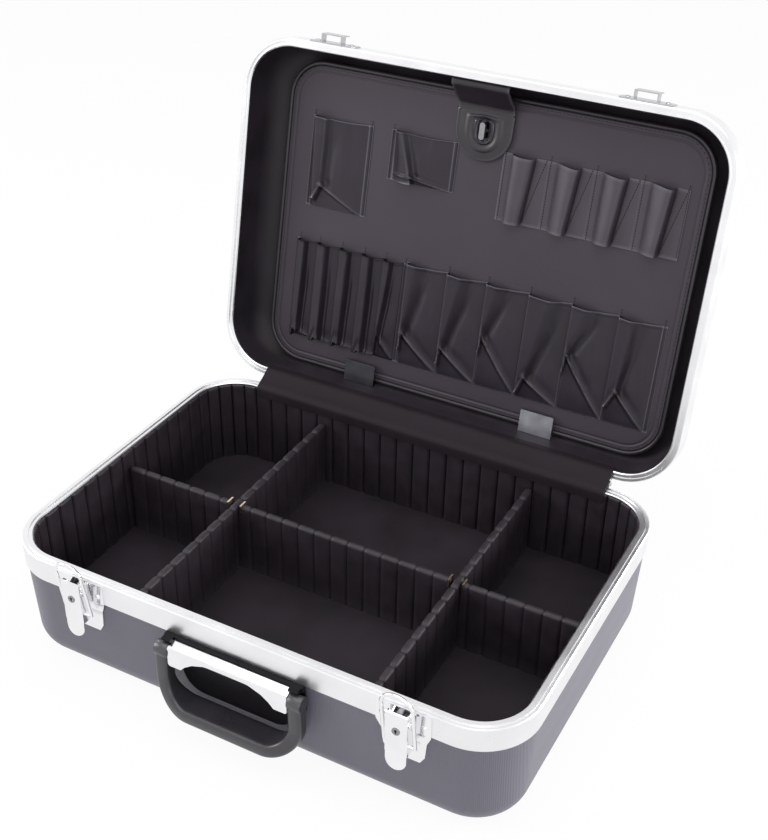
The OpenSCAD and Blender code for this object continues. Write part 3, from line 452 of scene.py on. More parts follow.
def curve(points, n):
    """Smooth line through points, n steps between each two (Catmull-Rom)."""
    out = []
    ext = [points[0]] + points + [points[-1]]
    for k in range(1, len(ext) - 2):
        p0, p1, p2, p3 = ext[k - 1:k + 3]
        for i in range(n):
            t = i / n
            out.append(tuple(0.5 * (2 * p1[c] + (p2[c] - p0[c]) * t +
                                    (2 * p0[c] - 5 * p1[c] + 4 * p2[c] - p3[c]) * t * t +
                                    (3 * p1[c] - p0[c] - 3 * p2[c] + p3[c]) * t ** 3)
                             for c in range(2)))
    return out + [points[-1]]


# ---------- shells ----------
def shell_in(t, h, draft, edge):
    """How far a shell of height h stands in, t away from its rim."""
    if t <= BAND_H:
        return SHELL_O
    if t <= h - edge:
        return SHELL_O + draft * (t - BAND_H) / (h - edge - BAND_H)
    return SHELL_O + draft + edge - math.sqrt(max(0, edge * edge - (t - (h - edge)) ** 2))


def edge_depths(h, edge, n):
    """Steps round a shell's edge, as distances from its rim."""
    return [h - edge + edge * math.sin(math.radians(90 * i / n)) for i in range(n + 1)]


def shell(h, draft, edge, rim, place):
    """A moulded shell, lofted from its inner crown out over its rim to its outer crown."""
    def side(height, bend, inset, n):
        depths = [rim, BAND_H]
        if height - bend > BAND_H + 3:
            depths += [mix(BAND_H, height - bend, k / 4) for k in range(1, 4)]
        return [(shell_in(t, height, draft, bend) + inset, t)
                for t in depths + edge_depths(height, bend, n)]

    inner = side(h - SHELL_T, edge - SHELL_T, SHELL_T, 8)
    return loft([[place(x, y, t) for x, y in rounded(CASE_W, CASE_D, CORNER, o)]
                 for o, t in inner[::-1] + side(h, edge, 0, 14)])


piece("base_shell_moulded",
      shell(BASE_H, BASE_DRAFT, BASE_EDGE, BASE_RIM, lambda x, y, t: world(x, y, BASE_H - t)),
      "abs", "base", replaces=["base_shell"])
piece("lid_shell_moulded", shell(LID_H, LID_DRAFT, LID_EDGE, LID_RIM, lid),
      "abs", "lid", replaces=["lid_shell"])


# ---------- wall liner, floor and dividers ----------
RIB_LOW, RIB_HIGH = -GROOVE * 1.6, 0.8


def base_in(z):
    """How far the base shell's inner face stands in at height z."""
    return shell_in(BASE_H - z, BASE_H - SHELL_T, BASE_DRAFT, BASE_EDGE - SHELL_T) + SHELL_T


def puff(t):
    """Pressed rib: a narrow groove at t = 0 and a full cushion between."""
    return RIB_LOW + (RIB_HIGH - RIB_LOW) * (1 - abs(2 * t - 1) ** 7)


def rib_count(length):
    """An odd number of ribs, about a pitch wide each."""
    return 2 * int(length / PITCH / 2) + 1


def liner_ring(o, z, depth, samples=14):
    """Ring round the liner, drawn in by o, its ribs standing in by a share of their depth."""
    r, sx, sy = CORNER - o, CASE_W - 2 * CORNER, CASE_D - 2 * CORNER
    points = []
    for side in range(4):
        along, across = (sy, CASE_W) if side % 2 == 0 else (sx, CASE_D)
        half, n = across / 2 - o, rib_count(along)
        local = []
        for i in range(n):
            for k in range(samples):
                t = k / samples
                local.append((half - depth * puff(t), -along / 2 + along * (i + t) / n))
        for i in range(CORNER_RIBS):
            for k in range(samples):
                t = k / samples
                b = math.pi / 2 * (i + t) / CORNER_RIBS
                q = r - depth * puff(t)
                local.append((half - r + q * math.cos(b), along / 2 + q * math.sin(b)))
        a = math.pi / 2 * side
        for x, y in local:
            points.append(world(x * math.cos(a) - y * math.sin(a),
                                x * math.sin(a) + y * math.cos(a), z))
    return points


def wall_liner():
    """Covered board round the wall, its ribs fading out towards its top and foot."""
    foot, clear_at_top, rolled = FLOOR_Z + 0.05, 2.0, 0.8
    back_low, back_top = base_in(FLOOR_Z) + GLUE, SHELL_O + SHELL_T + clear_at_top
    rings = []
    for z, depth in ((foot, 0.75), (FLOOR_Z + 1.5, 1), (45, 1), (65, 1), (85, 1), (103, 1),
                     (105, 0.85), (LINER_TOP - 0.6, 0.6), (LINER_TOP, 0.35)):
        back = mix(back_low, back_top, (z - FLOOR_Z) / (LINER_TOP - FLOOR_Z))
        rings.append(liner_ring(back + LINER_T - (rolled if z == LINER_TOP else 0), z, depth))
    rings += [liner_ring(back_top + 0.2, LINER_TOP, 0), liner_ring(back_low, foot, 0)]
    return loft(rings, endless=True)


def floor_pad():
    """Pad over the base's floor, a little lower in its middle."""
    o = base_in(FLOOR_Z - FLOOR_T) + GLUE
    return loft([[world(x, y, FLOOR_Z - down)
                  for x, y in rounded(CASE_W, CASE_D, CORNER, o + inset, 8)]
                 for inset, down in ((0, FLOOR_T), (0, 0.8), (0.5, 0.2), (1.4, 0), (60, 0),
                                     (90, 0.05))])


def divider(length, at, slots, from_top, place):
    """Ribbed board with a beaded top; slots are its cuts, half its height from top or foot.
    Stations within clear of a slot's edge give way to a pair that makes the edge sheer."""
    n, samples = rib_count(length), 12
    slot_half, slot_z = DIV_T / 2 + DIV_FIT, FLOOR_Z + (DIV_TOP - FLOOR_Z) / 2
    clear, sheer, bead = 0.6, 0.001, 0.9
    stations = [length * ((i + k / samples) / n - 0.5) for i in range(n) for k in range(samples)]
    stations.append(length / 2)
    for s in slots:
        stations = [x for x in stations if abs(x - s) >= slot_half + clear]
        for side in (-1, 1):
            edge = s + side * slot_half
            stations += [edge - side * sheer, edge]
    stations.sort()

    def section(s, cut):
        p = puff((s / length + 0.5) * n % 1.0)
        half = DIV_T / 2 - 0.45 + 0.55 * p
        top = DIV_TOP - 0.5 + 0.5 * p
        low = FLOOR_Z + 0.02
        shoulder = top - half * bead
        if cut and from_top:
            shoulder = slot_z
            crown = [(mix(-half, half, k / 9), slot_z) for k in range(1, 9)]
        else:
            crown = [(half * -math.cos(math.pi * k / 9),
                      shoulder + half * bead * math.sin(math.pi * k / 9)) for k in range(1, 9)]
        if cut and not from_top:
            low = slot_z + DIV_FIT
        return [(-half, mix(low, shoulder, k / 5)) for k in range(6)] + crown + \
            [(half, mix(shoulder, low, k / 5)) for k in range(6)]

    rings = []
    for s in stations:
        cut = any(abs(s - c) <= slot_half for c in slots)
        rings.append([place(s, at + y, z) for y, z in section(s, cut)])
    return loft(rings)


piece("wall_liner_ribbed", wall_liner(), "liner", "base", 60, ["wall_liner"])
piece("floor_pad_covered", floor_pad(), "floor", "base", 50, ["floor_pad"])
end_in = base_in(FLOOR_Z) + GLUE + LINER_T + GROOVE + DIV_FIT
piece("long_divider_ribbed", divider(CASE_W - 2 * end_in, 0, CROSS, True, world),
      "liner", "divider_long", 50, ["long_divider"])
for side, side_x in zip(("left", "right"), CROSS):
    piece(f"cross_divider_{side}_ribbed",
          divider(CASE_D - 2 * end_in, side_x, (0.0,), False, lambda s, x, z: world(x, s, z)),
          "liner", f"divider_{side}", 50, [f"cross_divider_{side}"])


# ---------- leatherette strip over the hinge ----------
def open_yz(y, w):
    """Place on the open lid, as y and z in millimetres."""
    p = lid(0, y, w)
    return p[1] * 1000, p[2] * 1000


def cover_side(line):
    """One face of the strip over the hinge, rippled in its middle."""
    def at(u, v):
        y, z = line[round(v * (len(line) - 1))]
        x = (u - 0.5) * HINGE_LEN
        ripple = 0.35 * noise.noise(Vector((x / 28, v * 3, 5))) * math.sin(math.pi * v)
        return world(x, y, z + ripple)
    return at


def cover_path(sag=1.1):
    """The strip's line [y, z]: up the base frame, over the gap with a sag, and up the lid's."""
    path = [(BASE_FACE, 100.2), (BASE_FACE, 104), (BASE_FACE, 107.5), (BASE_FACE + 0.5, 109.8)]
    start, end = (BASE_FACE + 2.0, 111.4), open_yz(LID_FACE, 0.2)
    for k in range(1, 8):
        t = k / 8
        path.append((mix(start[0], end[0], t),
                     mix(start[1], end[1], t) - sag * math.sin(math.pi * t)))
    return path + [open_yz(LID_FACE, w) for w in (0.6, 2.5, 5, 8.9)]


def hinge_cover():
    """Leatherette strip that is glued to both frames, shaped for the lid standing open."""
    path = cover_path()
    up, down = ribbon([(y - COVER_T / 2, z) for y, z in path], COVER_T)
    strip = solid_sheet(90, len(path) - 1, cover_side(up), cover_side(down))
    cover = piece("hinge_cover_strip", strip, "cover", None, 60, ["hinge_cover"])
    lid(0, LID_FACE, 0)
    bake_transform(cover)
    length = sum(math.dist(p, q) for p, q in zip(path, path[1:]))


hinge_cover()


# ---------- tool panel ----------
def panel_ring(inset, w):
    """Ring round the panel at a distance inside its edge, at height w on the shut lid."""
    return [lid(x + PANEL_AT, y + PANEL_AT, w)
            for x, y in rounded(PANEL_W, PANEL_H, PANEL_R, inset, 12)]


def piping(sides=10):
    """Round cord along the panel's edge, just outside it."""
    line = fine(rounded(PANEL_W, PANEL_H, PANEL_R, 0, 12), 10)
    rings = []
    for i, (x, y) in enumerate(line):
        px, py = line[i - 1]
        qx, qy = line[(i + 1) % len(line)]
        size = math.hypot(qx - px, qy - py)
        nx, ny = (qy - py) / size, -(qx - px) / size
        ring = []
        for k in range(sides):
            a = 2 * math.pi * k / sides
            off = PIPE_R + PIPE_R * math.cos(a)
            ring.append(lid(x + PANEL_AT + nx * off, y + PANEL_AT + ny * off,
                            PIPE_W + PIPE_R * math.sin(a)))
        rings.append(ring)
    return loft(rings, endless=True)


def stitch(p, q, wide, proud=0.45, sunk=0.2):
    """One thread stitch from p to q on the panel, a flat lozenge: points [x, y, w]."""
    d = Vector((q[0] - p[0], q[1] - p[1])).normalized()
    n = Vector((-d.y, d.x)) * wide / 2
    m = [(a + b) / 2 for a, b in zip(p, q)]
    verts = [lid(*p), lid(*q), lid(m[0] + n.x, m[1] + n.y, m[2]),
             lid(m[0] - n.x, m[1] - n.y, m[2]), lid(m[0], m[1], m[2] - proud),
             lid(m[0], m[1], m[2] + sunk)]
    return verts, [(0, 2, 4), (2, 1, 4), (1, 3, 4), (3, 0, 4), (2, 0, 5), (1, 2, 5), (3, 1, 5),
                   (0, 3, 5)]


def sew(lines, pitch, length, wide):
    """Stitches along lines of points [x, y, w]."""
    parts = []
    for points in lines:
        at = 0.0
        for p, q in zip(points, points[1:]):
            size = math.dist(p, q)
            while at + length <= size:
                s, e = at / size, (at + length) / size
                parts.append(stitch([mix(a, b, s) for a, b in zip(p, q)],
                                    [mix(a, b, e) for a, b in zip(p, q)], wide))
                at += pitch
            at = max(0.0, at - size)
    return join(parts)


def edge_stitches(inset=2.3, w=32.9):
    """The row of stitches just inside the panel's edge."""
    line = [(x + PANEL_AT, y + PANEL_AT, w)
            for x, y in fine(rounded(PANEL_W, PANEL_H, PANEL_R, inset, 10), 40)]
    return sew([line + line[:1]], 3.7, 2.3, 1.0)


# From the panel's back over its edge, the dip its stitches lie in, a bead and a groove
panel_profile = (
    (90, 36), (1, 36), (0, 35.4), (0, 33.7), (0.5, 33.1), (1.3, 32.75), (1.9, 32.9),
    (2.7, 32.9), (3.3, 32.7), (4.6, 32.75), (5.1, 33.3), (5.8, 33.35), (6.4, 32.9), (8, 32.8),
    (16, 32.9), (30, PANEL_FACE), (90, PANEL_FACE))
piece("tool_panel_covered", loft([panel_ring(inset, w) for inset, w in panel_profile]),
      "panel", "panel", 50, ["tool_panel"])
piece("panel_piping_cord", piping(), "piping", "panel", 70, ["panel_piping"])
piece("panel_edge_stitches", edge_stitches(), "thread", "panel", 30)

# ---------- pockets ----------
# The sheet's thickness, how far pouches stand off, and how far inside its seam a pouch starts
SKIN, STAND, NARROW_STAND, SEAM = 0.8, 8.4, 8.2, 0.9
# A pouch's side as a share of its grid, and how soft its valley is at the mouth and the crease
SIDE, BLUR = 0.14, (0.36, 0.14)
# Places on the panel: heights of the rows' mouths and foot, seams, single pockets and loops
ROW_FOOT, NARROW_TOP, DEEP_TOP = 122.5, 26.0, 24.0
NARROW = (-173.0, -151.5, -127.0, -103.0, -80.5, -60.5)
DEEP = (-56.0, -15.0, 24.5, 65.8, 106.4, 149.8, 189.5)
TALL = (-168.0, -111.0, -92.0, -7.5)
WIDE = (-86.0, -25.5, -93.0, -48.0)
LOOPS = [21 + 41.8 * i for i in range(5)]
LOOP_Y = (-93.5, -33.5)


def crease_at(t, crease):
    """How far down a pocket its crease lies, at t across it."""
    t0, v0 = crease
    if t >= t0:
        return v0 + (1 - v0) * ((t - t0) / (1 - t0)) ** 0.92
    return v0 + 0.16 * (t0 - t) / max(t0, 0.01)


def fold_height(t, v, stand, top, crease, notch, end, blur):
    """How far a pocket stands off the panel, t across and v down from its mouth."""
    t0, v0 = crease
    edge = crease_at(t, crease)
    # A band at its left fold stands out, and a valley slants from the mouth to the crease
    s = min(1.0, v / max(0.05, v0))
    fall = mix(top, t0 + 0.03 if end is None else end, s ** 1.15)
    wide = mix(blur[0], blur[1], s)
    band = 1 - ease((t - fall + wide / 2) / wide)
    low = mix(0.46, 0.62, s) * (1 - t) ** 0.7
    h = stand * mix(low, 1.0, band)
    h -= 0.2 * stand * hump(t, fall + wide * 0.7, 0.09) * ease(s * 1.6)
    over = v - edge
    if over <= 0:
        # A hollow above the crease, and the crease itself, a thin ridge
        h -= 0.07 * stand * hump(over, -0.07, 0.05) * (1 - t) ** 0.5
        h += 0.2 * stand * hump(over, 0, 0.012) * (1 - t) ** 0.3
    else:
        # Below the crease it falls away from the ridge to the foot
        ridge = stand * (0.62 * (1 - t) ** 0.7 if t >= t0 else 0.6)
        ridge += 0.2 * stand * (1 - t) ** 0.3
        foot = stand * 0.4 * (1 - t) ** 0.8
        h = mix(ridge, foot, ease(over / 0.06) ** 0.6)
        h *= max(0.0, (1 - v) / max(0.02, 1 - edge)) ** 0.3
    # A small knot where the crease starts
    h += notch * stand * hump(t, t0, 0.05) * hump(v, v0, 0.025)
    return h + 0.4


def crumple(x, y, t, v, seed):
    """Small dents in a pocket's front, none at its seams."""
    dent = noise.noise(Vector((x / 10 + seed * 7, y / 30, seed)))
    wisp = noise.noise(Vector((x / 3.5 + seed, y / 16, seed * 3)))
    return (0.5 * dent + 0.22 * wisp) * math.sin(math.pi * t) * ease(v * 6 + 0.3) \
        * ease((1 - v) * 8)


def pocket(a, b, y0, y1, stand, crease, top, seed, fold=1.6, notch=0.0, lean=(0.0, 0.0), end=None,
           blur=BLUR):
    """One pouch between the seams a and b, from its mouth y0 to its foot y1. Its side, the
    first share of u, stands up from the seam, and its front runs down to the other seam.
    fold is how wide its side is and lean how far that slants over, at its mouth and foot."""
    def front(u, v):
        y = mix(y0, y1, v)
        shift = mix(lean[0], lean[1], v)
        t = max(0.0, (u - SIDE) / (1 - SIDE))
        h = fold_height(t, v, stand, top, crease, notch, end, blur)
        if u < SIDE:
            s = u / SIDE
            h *= ease(s) ** 0.7
            x = a + SEAM + s * (fold + shift) - 1.5 * math.sin(math.pi * s)
        else:
            x = mix(a + SEAM + fold + shift, b - SEAM, t)
            h += crumple(x, y, t, v, seed)
        hem = 0.25 if v < 0.03 else 0
        bow = 1.3 * math.sin(math.pi * min(1, t)) * (1 - ease(v * 9))
        return x, y + bow, PANEL_FACE - 0.15 - max(0.25, min(stand + 0.6, h + hem))

    def back(u, v):
        x, y, w = front(u, v)
        return x + (0.25 if u < SIDE else 0), y, min(PANEL_FACE - 0.05, w + SKIN * 0.8)

    return solid_sheet(56, 96, lambda u, v: lid(*front(u, v)), lambda u, v: lid(*back(u, v)))


def web(a, b, y0, y1):
    """Flat strip of the same sheet, sewn down on the panel."""
    return solid_sheet(8, 60, lambda u, v: lid(mix(a, b, u), mix(y0, y1, v), PANEL_FACE - 0.55),
                       lambda u, v: lid(mix(a, b, u), mix(y0, y1, v), PANEL_FACE - 0.02))


def sewn_piece(name, parts, mat):
    """Pouches or loops that are one sheet, sewn to the panel."""
    ob = piece(name + "_sewn", join(parts), mat, "panel", 60, [name])
    sew_down(ob)


def pocket_sheet(name, seams, y0, y1, spare, pouches):
    """Pouches between seams, one sheet with a flat strip at either end. spare is how far the
    strips reach past the outer seams, and pouches holds each pouch's own settings."""
    parts = [pocket(a, b, y0, y1, **own) for a, b, own in zip(seams, seams[1:], pouches)]
    parts += [web(seams[0] - spare[0], seams[0] + 1, y0, y1),
              web(seams[-1] - 1, seams[-1] + spare[1], y0, y1)]
    sewn_piece(name, parts, "pocket")


# A crease is where a pouch's ridge starts, across and down. top and end say where across its
# valley starts at the mouth and ends at the crease.
narrow_folds = (((0.1, 0.92), 0.36), ((0.2, 0.965), 0.44), ((0.1, 0.95), 0.36),
                ((0.2, 0.975), 0.42), ((0.04, 0.78), 0.1))
pocket_sheet("narrow_pockets", NARROW, NARROW_TOP, ROW_FOOT, (3, 1.8), [
    {"stand": NARROW_STAND, "crease": crease, "top": 0.42, "seed": 1.7 + i, "fold": 1.0,
     "end": end, "blur": (0.2, 0.14)} for i, (crease, end) in enumerate(narrow_folds)])
deep_folds = (((0.03, 0.68), 0.3, 0.12), ((0.04, 0.72), 0.46, 0.08), ((0.01, 0.5), 0.34, 0),
              ((0.14, 0.78), 0.62, 0.25), ((0.01, 0.46), 0.42, 0), ((0.2, 0.68), 0.36, 0.25))
pocket_sheet("deep_pockets", DEEP, DEEP_TOP, ROW_FOOT, (2, 2.6), [
    {"stand": STAND, "crease": crease, "top": top, "seed": 11.3 + i, "notch": notch}
    for i, (crease, top, notch) in enumerate(deep_folds)])
for name, (a, b, y0, y1), own in (
        ("tall_pocket", TALL, {"crease": (0.14, 0.74), "top": 0.22, "end": 0.16,
                               "lean": (1.0, 5.0), "blur": (0.1, 0.08), "seed": 31.0}),
        ("wide_pocket", WIDE, {"crease": (0.02, 0.86), "top": 0.06, "end": 0.05,
                               "lean": (6.5, 21.0), "blur": (0.12, 0.1), "seed": 37.0})):
    pocket_sheet(name, (a, b), y0, y1, (3, 3),
                 [{"stand": STAND, "fold": 2.2, "notch": 0.3, **own}])


def loop_tube(a, b, seed, skew):
    """A tool loop: a tube open at both ends beside a strip that is sewn flat."""
    tube_from, tube_to, flat = 0.08, 0.76, PANEL_FACE - 0.85

    def front(u, v):
        y = mix(LOOP_Y[0], LOOP_Y[1], v)
        left, right = a + 8.6, mix(a + 30, a + 24.5, v)
        if u < tube_from:
            return mix(a, left, u / tube_from), y, flat
        if u < tube_to:
            t = (u - tube_from) / (tube_to - tube_from)
            swell = STAND * (1 + 0.05 * noise.noise(Vector((seed, v * 3, t * 2))))
            rise = math.sin(math.pi * t ** skew) ** 0.75
            x = mix(left, right, 0.5 - 0.5 * math.cos(math.pi * t)) + 1.1 * rise * t
            dip = 2.2 * rise * (1 - ease(v * 5)) * t
            return x, y + dip, flat - swell * rise
        t = (u - tube_to) / (1 - tube_to)
        lift = 0.5 * math.sin(math.pi * t) * (0.6 + 0.4 * noise.noise(Vector((seed, v * 4, 1))))
        return mix(right, b, t), y, flat - lift

    def back(u, v):
        x, y, w = front(u, v)
        return x, y, min(PANEL_FACE - 0.03, w + SKIN)

    return solid_sheet(60, 20, lambda u, v: lid(*front(u, v)), lambda u, v: lid(*back(u, v)))


sewn_piece("tool_loops", [loop_tube(LOOPS[i], LOOPS[i + 1], 51.0 + i, (1.0, 1.7, 1.5, 1.8)[i])
                          for i in range(4)], "loops")


def seam(x, y0, y1, proud, x1=None):
    """A line of stitches down the panel, proud of its face."""
    return [(x, y0, PANEL_FACE - proud), (x if x1 is None else x1, y1, PANEL_FACE - proud)]


def pocket_seams():
    """The stitched lines between and beside pouches and loops."""
    lines = [seam(x, NARROW_TOP - 6, ROW_FOOT, 0.5) for x in NARROW[:5]]
    lines += [seam(x, DEEP_TOP - 6, ROW_FOOT, 0.5) for x in DEEP[1:]]
    lines.append(seam(NARROW[5] + 1.2, NARROW_TOP - 6, ROW_FOOT, 1.0))
    for a, b, y0, y1 in (TALL, WIDE):
        lines += [seam(a - 1.4, y0 - 5, y1, 0.8), seam(b + 1.4, y0 - 5, y1, 0.8)]
    for a, b in zip(LOOPS, LOOPS[1:]):
        lines += [seam(a + 2.2, LOOP_Y[0] - 5, LOOP_Y[1], 1.0),
                  seam(b - 1.5, LOOP_Y[0], LOOP_Y[1], 1.3, a + 25)]
    lines.append(seam(LOOPS[4] - 1, LOOP_Y[0] - 4, LOOP_Y[1], 1.0))
    return lines


piece("pocket_stitches", sew(pocket_seams(), 2.6, 2.2, 1.0), "thread", "panel",
      30)


# ---------- strap ----------
def lining_in(w):
    """How far the lid lining's face stands in, w above the lid's rim."""
    inner = shell_in(w, LID_H - SHELL_T - LINING_T, LID_DRAFT, LID_EDGE - SHELL_T - LINING_T)
    return inner + SHELL_T + LINING_T + LINING_GLUE


def strap_side(line):
    """One face of the strap, down its middle line."""
    def at(u, v):
        y, w = line[round(v * (len(line) - 1))]
        return lid((u - 0.5) * (STRAP_W - 0.6), y, w)
    return at


def strap_outlines(square=17, count=72):
    """Outlines of the strap's end and of its eyelet, by direction from the button. The end is
    round past the button and reaches back square before it."""
    outer, inner = [], []
    r, half = STRAP_W / 2 - 0.3, EYELET_L / 2 - EYELET_R
    for k in range(count):
        a = 2 * math.pi * k / count
        c, s = math.cos(a), math.sin(a)
        reach = r
        if s < 0:
            reach = min(r / max(abs(c), 1e-6), square / max(-s, 1e-6))
        outer.append((reach * c, TURN_Y + reach * s))
        inner.append((EYELET_R * c, TURN_Y + EYELET_R * s + half * math.tanh(4 * s)))
    return outer, inner


def washer(outer, inner, section):
    """A ring between two outlines, its section given as (share inwards, height)."""
    return loft([[lid(mix(p[0], q[0], t), mix(p[1], q[1], t), STRAP_FACE + w)
                  for p, q in zip(outer, inner)] for t, w in section], endless=True)


def strap():
    """The free flap with its eyelet: one fixed shape from its root on the lid to its round end.
    """
    wall = -CASE_D / 2 + lining_in(FOLD[1]) + LINING_GLUE
    line = curve([
        (wall + 0.9, 12.7), (wall + 1.5, 10.4), (FOLD[0] - 2.6, 8.8), (FOLD[0] + 0.6, 9.4),
        (FOLD[0] + 3, 12), (FOLD[0] + 8, 18.2), (FOLD[0] + 13, 25),
        (FOLD[0] + 16.5, STRAP_FACE - 1.8), (FOLD[0] + 20, STRAP_FACE - 0.3),
        (TURN_Y - 17, STRAP_FACE)], 6)
    up, down = ribbon(line, FLAP_T)
    band = solid_sheet(20, len(line) - 1, strap_side(up), strap_side(down))
    outer, inner = strap_outlines()
    # Its section from the rim inwards: a sewn edge, the flat, and a raised ring at the eyelet
    end = washer(outer, inner, (
        (0, 0.85), (0, -0.45), (0.03, -0.8), (0.06, -0.85), (0.11, -0.6), (0.14, -0.6),
        (0.19, -0.85), (0.38, -0.85), (0.44, -1.05), (0.5, -1.7), (0.58, -2.0), (0.66, -1.75),
        (0.72, -1.2), (0.8, -0.95), (0.92, -0.95), (1, -0.7), (1, 0.85)))
    flap = piece("strap_flap_leather", join([band, end]), "strap", None, 45,
                 ["strap_flap"])
    lid(0, wall + 0.9, 11.5)
    lid(0, FOLD[0] + 9, 19.5)
    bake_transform(flap)
    sew_down(flap)
    eyelet = washer(outer, inner, ((0.82, -1.6), (0.86, -2.15), (0.93, -2.15), (0.985, -1.6),
                                   (0.985, 0.4), (0.93, 0.4)))
    piece("strap_eyelet", eyelet, "dark_metal", "strap", 50)


strap()


# ---------- handle ----------
def handle_stations():
    """Places along the bow [x, z, slant in degrees, share of the grip]. The right half runs
    down an arm, round its bend and along the grip, and the left half is its mirror."""
    arm_x, low = HANDLE_W / 2 - ARM / 2, PIN_DROP - DROP
    turn_x = arm_x - BEND
    half = [(arm_x, mix(PIN_DROP - 1, low + BEND, k / 6), 0.0, 0.0) for k in range(6)]
    for k in range(19):
        a = math.radians(-90 * k / 18)
        half.append((turn_x + BEND * math.cos(a), low + BEND + BEND * math.sin(a), -90 * k / 18,
                     k / 18))
    half += [(turn_x * (1 - k / 6), low, -90.0, 1.0) for k in range(1, 7)]
    return half + [(-x, z, -180 - a, g) for x, z, a, g in half[-2::-1]]


def handle_ring(x, z, slant, share, count=36):
    """Section of the bow: squarish arms that grow into a wide grip, hollow on its inner side
    and with a seam line on its outer one."""
    grow, turn = ease(share), math.radians(slant)
    p, q = mix(ARM / 2, GRIP_H / 2, grow), mix(ARM / 2, GRIP_D / 2, grow)
    ring = []
    for k in range(count):
        s = 2 * math.pi * k / count
        c, d = math.cos(s), math.sin(s)
        across = p * math.copysign(abs(c) ** 0.55, c)
        deep_in = q * math.copysign(abs(d) ** 0.55, d)
        if c < -0.3:
            across += 1.6 * grow * (1 - (deep_in / q) ** 2)
        if k in (0, 1, count - 1):
            across -= (0.5 if k == 0 else 0.1) * grow
        ring.append(world(x + across * math.cos(turn),
                          -CASE_D / 2 - PIN_OUT - GRIP_OUT * grow + deep_in,
                          BASE_H + z + across * math.sin(turn)))
    return ring


def handle_hub(side, count=32):
    """Round eye of an arm, over its pin, with softened edges."""
    middle = HANDLE_W / 2 - ARM / 2
    rings = []
    for off, r in ((-6, 5.4), (-5.8, 6.1), (-5.2, 6.5), (5.2, 6.5), (5.8, 6.1), (6, 5.4)):
        rings.append([world(side * (middle + off), -CASE_D / 2 - PIN_OUT + r * math.cos(a),
                            BASE_H + PIN_DROP + r * math.sin(a))
                      for a in (2 * math.pi * k / count for k in range(count))])
    return loft(rings)


bow = loft([handle_ring(*station) for station in handle_stations()])
piece("handle_bow_moulded", join([bow, handle_hub(-1), handle_hub(1)]), "moulded", "handle",
      38, ["handle_bow"])


# ---------- lid lining and the fixed end of the strap ----------
def lining_rings(off, edge):
    """Rings over a face of the lining, off away from the lid shell's outside."""
    return [[lid(x, y, t) for x, y in rounded(CASE_W, CASE_D, CORNER,
                                             shell_in(t, LID_H - off, LID_DRAFT, edge) + off, 14)]
            for t in [3.3, 8, 14, BAND_H] + edge_depths(LID_H - off, edge, 12)]


def anchor_side(face):
    """One side of the strap's fixed end, which lies on the lid's front wall."""
    def at(u, v):
        w = mix(ANCHOR_W[0], ANCHOR_W[1], v)
        edge = min(1.0, 14 * min(u, 1 - u), 5 * min(v, 1 - v) + 0.2)
        off = face * (0.55 + 0.45 * ease(edge))
        off += 0.08 * face * noise.noise(Vector((u * 9, v * 3, 2)))
        return lid((u - 0.5) * STRAP_W, -CASE_D / 2 + lining_in(w) + LINING_GLUE + off, w)
    return at


lining = lining_rings(SHELL_T + LINING_T + LINING_GLUE, LID_EDGE - SHELL_T - LINING_T)[::-1] + \
    lining_rings(SHELL_T + LINING_GLUE, LID_EDGE - SHELL_T)
piece("lid_lining_bonded", loft(lining), "lining", "lid", 50, ["lid_lining"])
anchor = piece("strap_anchor_leather",
               solid_sheet(48, 16, anchor_side(STRAP_T), anchor_side(0.0)),
               "strap", "lid", 45, ["strap_anchor"])


# ---------- floor, light and camera ----------
def white_to_camera(tree, shader, seen, output, share):
    """Mixes a share of a second shader into what the camera and mirrors see."""
    nodes, links = tree.nodes, tree.links
    path = nodes.new("ShaderNodeLightPath").outputs
    direct = calc(nodes, links, "MAXIMUM", path["Is Camera Ray"], path["Is Glossy Ray"])
    direct = calc(nodes, links, "MAXIMUM", direct, path["Is Transmission Ray"])
    both = nodes.new("ShaderNodeMixShader")
    links.new(calc(nodes, links, "MULTIPLY", direct, share), both.inputs["Fac"])
    links.new(shader.outputs[0], both.inputs[1])
    links.new(seen.outputs[0], both.inputs[2])
    links.new(both.outputs[0], nodes[output].inputs["Surface"])


def pale_floor(half=6.0, drop=0.0006):
    """Plain floor just under the case, nearly white where the camera sees it unshaded."""
    mesh = bpy.data.meshes.new("floor")
    corners = ((-half, -half), (half, -half), (half, half), (-half, half))
    mesh.from_pydata([(x, y, -drop) for x, y in corners], [], [(0, 1, 2, 3)])
    floor = bpy.data.objects.new("floor", mesh)
    bpy.context.scene.collection.objects.link(floor)
    mat = bpy.data.materials.new("pale_floor")
    mat.use_nodes = True
    shader = mat.node_tree.nodes["Principled BSDF"]
    shader.inputs["Base Color"].default_value = (0.94, 0.94, 0.945, 1)
    shader.inputs["Roughness"].default_value = 0.85
    glow = add(mat.node_tree.nodes, "Emission", {"Strength": 1.0})
    white_to_camera(mat.node_tree, shader, glow, "Material Output", 0.93)
    mesh.materials.append(mat)


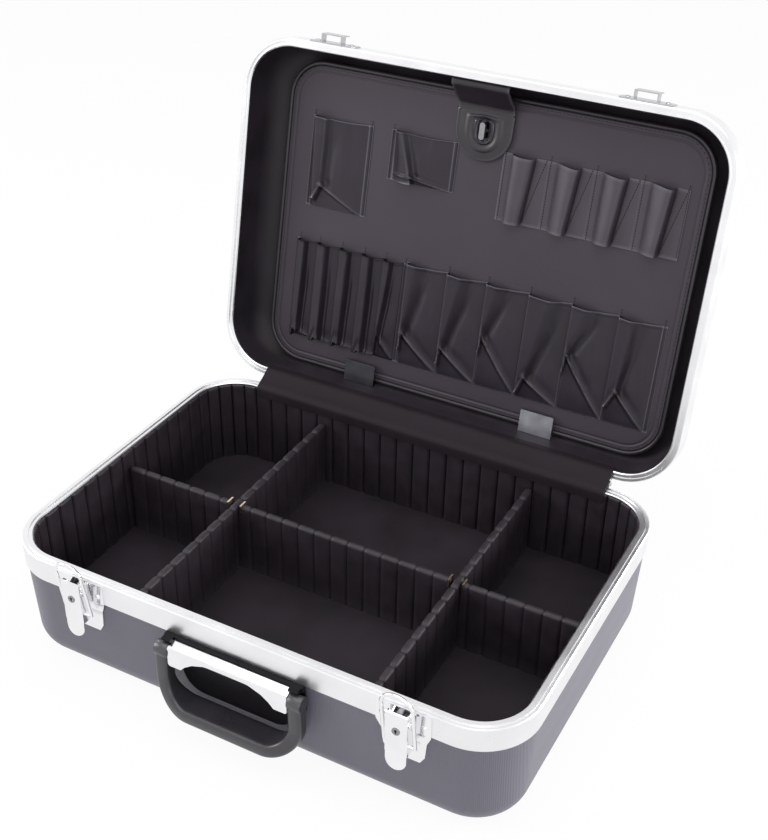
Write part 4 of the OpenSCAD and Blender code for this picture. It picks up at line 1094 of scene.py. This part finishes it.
def studio_sky():
    """Soft light from all sides, and plain white where the camera sees it."""
    sky = bpy.data.worlds.new("studio")
    bpy.context.scene.world = sky
    sky.use_nodes = True
    soft = sky.node_tree.nodes["Background"]
    soft.inputs["Color"].default_value = (0.97, 0.98, 1.0, 1)
    soft.inputs["Strength"].default_value = 0.52
    seen = add(sky.node_tree.nodes, "Background", {"Color": (1, 1, 1, 1), "Strength": 1.0})
    white_to_camera(sky.node_tree, soft, seen, "World Output", 1.0)


def lamp(name, place, target, size, watts):
    """A rectangular soft light that looks at its target."""
    light = bpy.data.lights.new(name, "AREA")
    light.shape = "RECTANGLE"
    light.size, light.size_y = size
    light.energy = watts
    ob = bpy.data.objects.new(name, light)
    ob.location = place
    ob.rotation_euler = (Vector(target) - Vector(place)).to_track_quat("-Z", "Y").to_euler()
    bpy.context.scene.collection.objects.link(ob)


def photo_camera(place, back, roll, focal, sensor=36):
    """The photograph's camera: back points from the case to it."""
    lens = bpy.data.cameras.new("camera")
    lens.sensor_width = sensor
    lens.sensor_fit = "AUTO"
    lens.lens = focal
    back = Vector(back).normalized()
    side = Vector((-back.y, back.x, 0)).normalized()
    up_axis = back.cross(side)
    x_axis = side * math.cos(roll) + up_axis * math.sin(roll)
    y_axis = up_axis * math.cos(roll) - side * math.sin(roll)
    turn = Matrix((x_axis, y_axis, back)).transposed().to_4x4()
    camera = bpy.data.objects.new("camera", lens)
    camera.matrix_world = Matrix.Translation(place) @ turn
    bpy.context.scene.collection.objects.link(camera)
    return camera


bpy.context.scene.view_settings.view_transform = "Standard"
pale_floor()
studio_sky()
lamp("top_softbox", (0.1, -0.25, 1.9), (0, 0, 0.1), (2.0, 1.6), 15)
lamp("left_softbox", (-1.8, -0.8, 0.95), (0, 0.05, 0.15), (0.9, 0.9), 18)
lamp("front_softbox", (0.9, -1.8, 0.9), (0, 0, 0.15), (1.4, 0.9), 6)
lamp("right_softbox", (1.7, 0.8, 0.45), (0.2, 0, 0.06), (1.4, 0.6), 28)
bpy.context.scene.camera = photo_camera((0.44325, -0.76619, 0.78209),
                                        (0.39166, -0.74386, 0.54156), math.radians(1.097), 56.88)
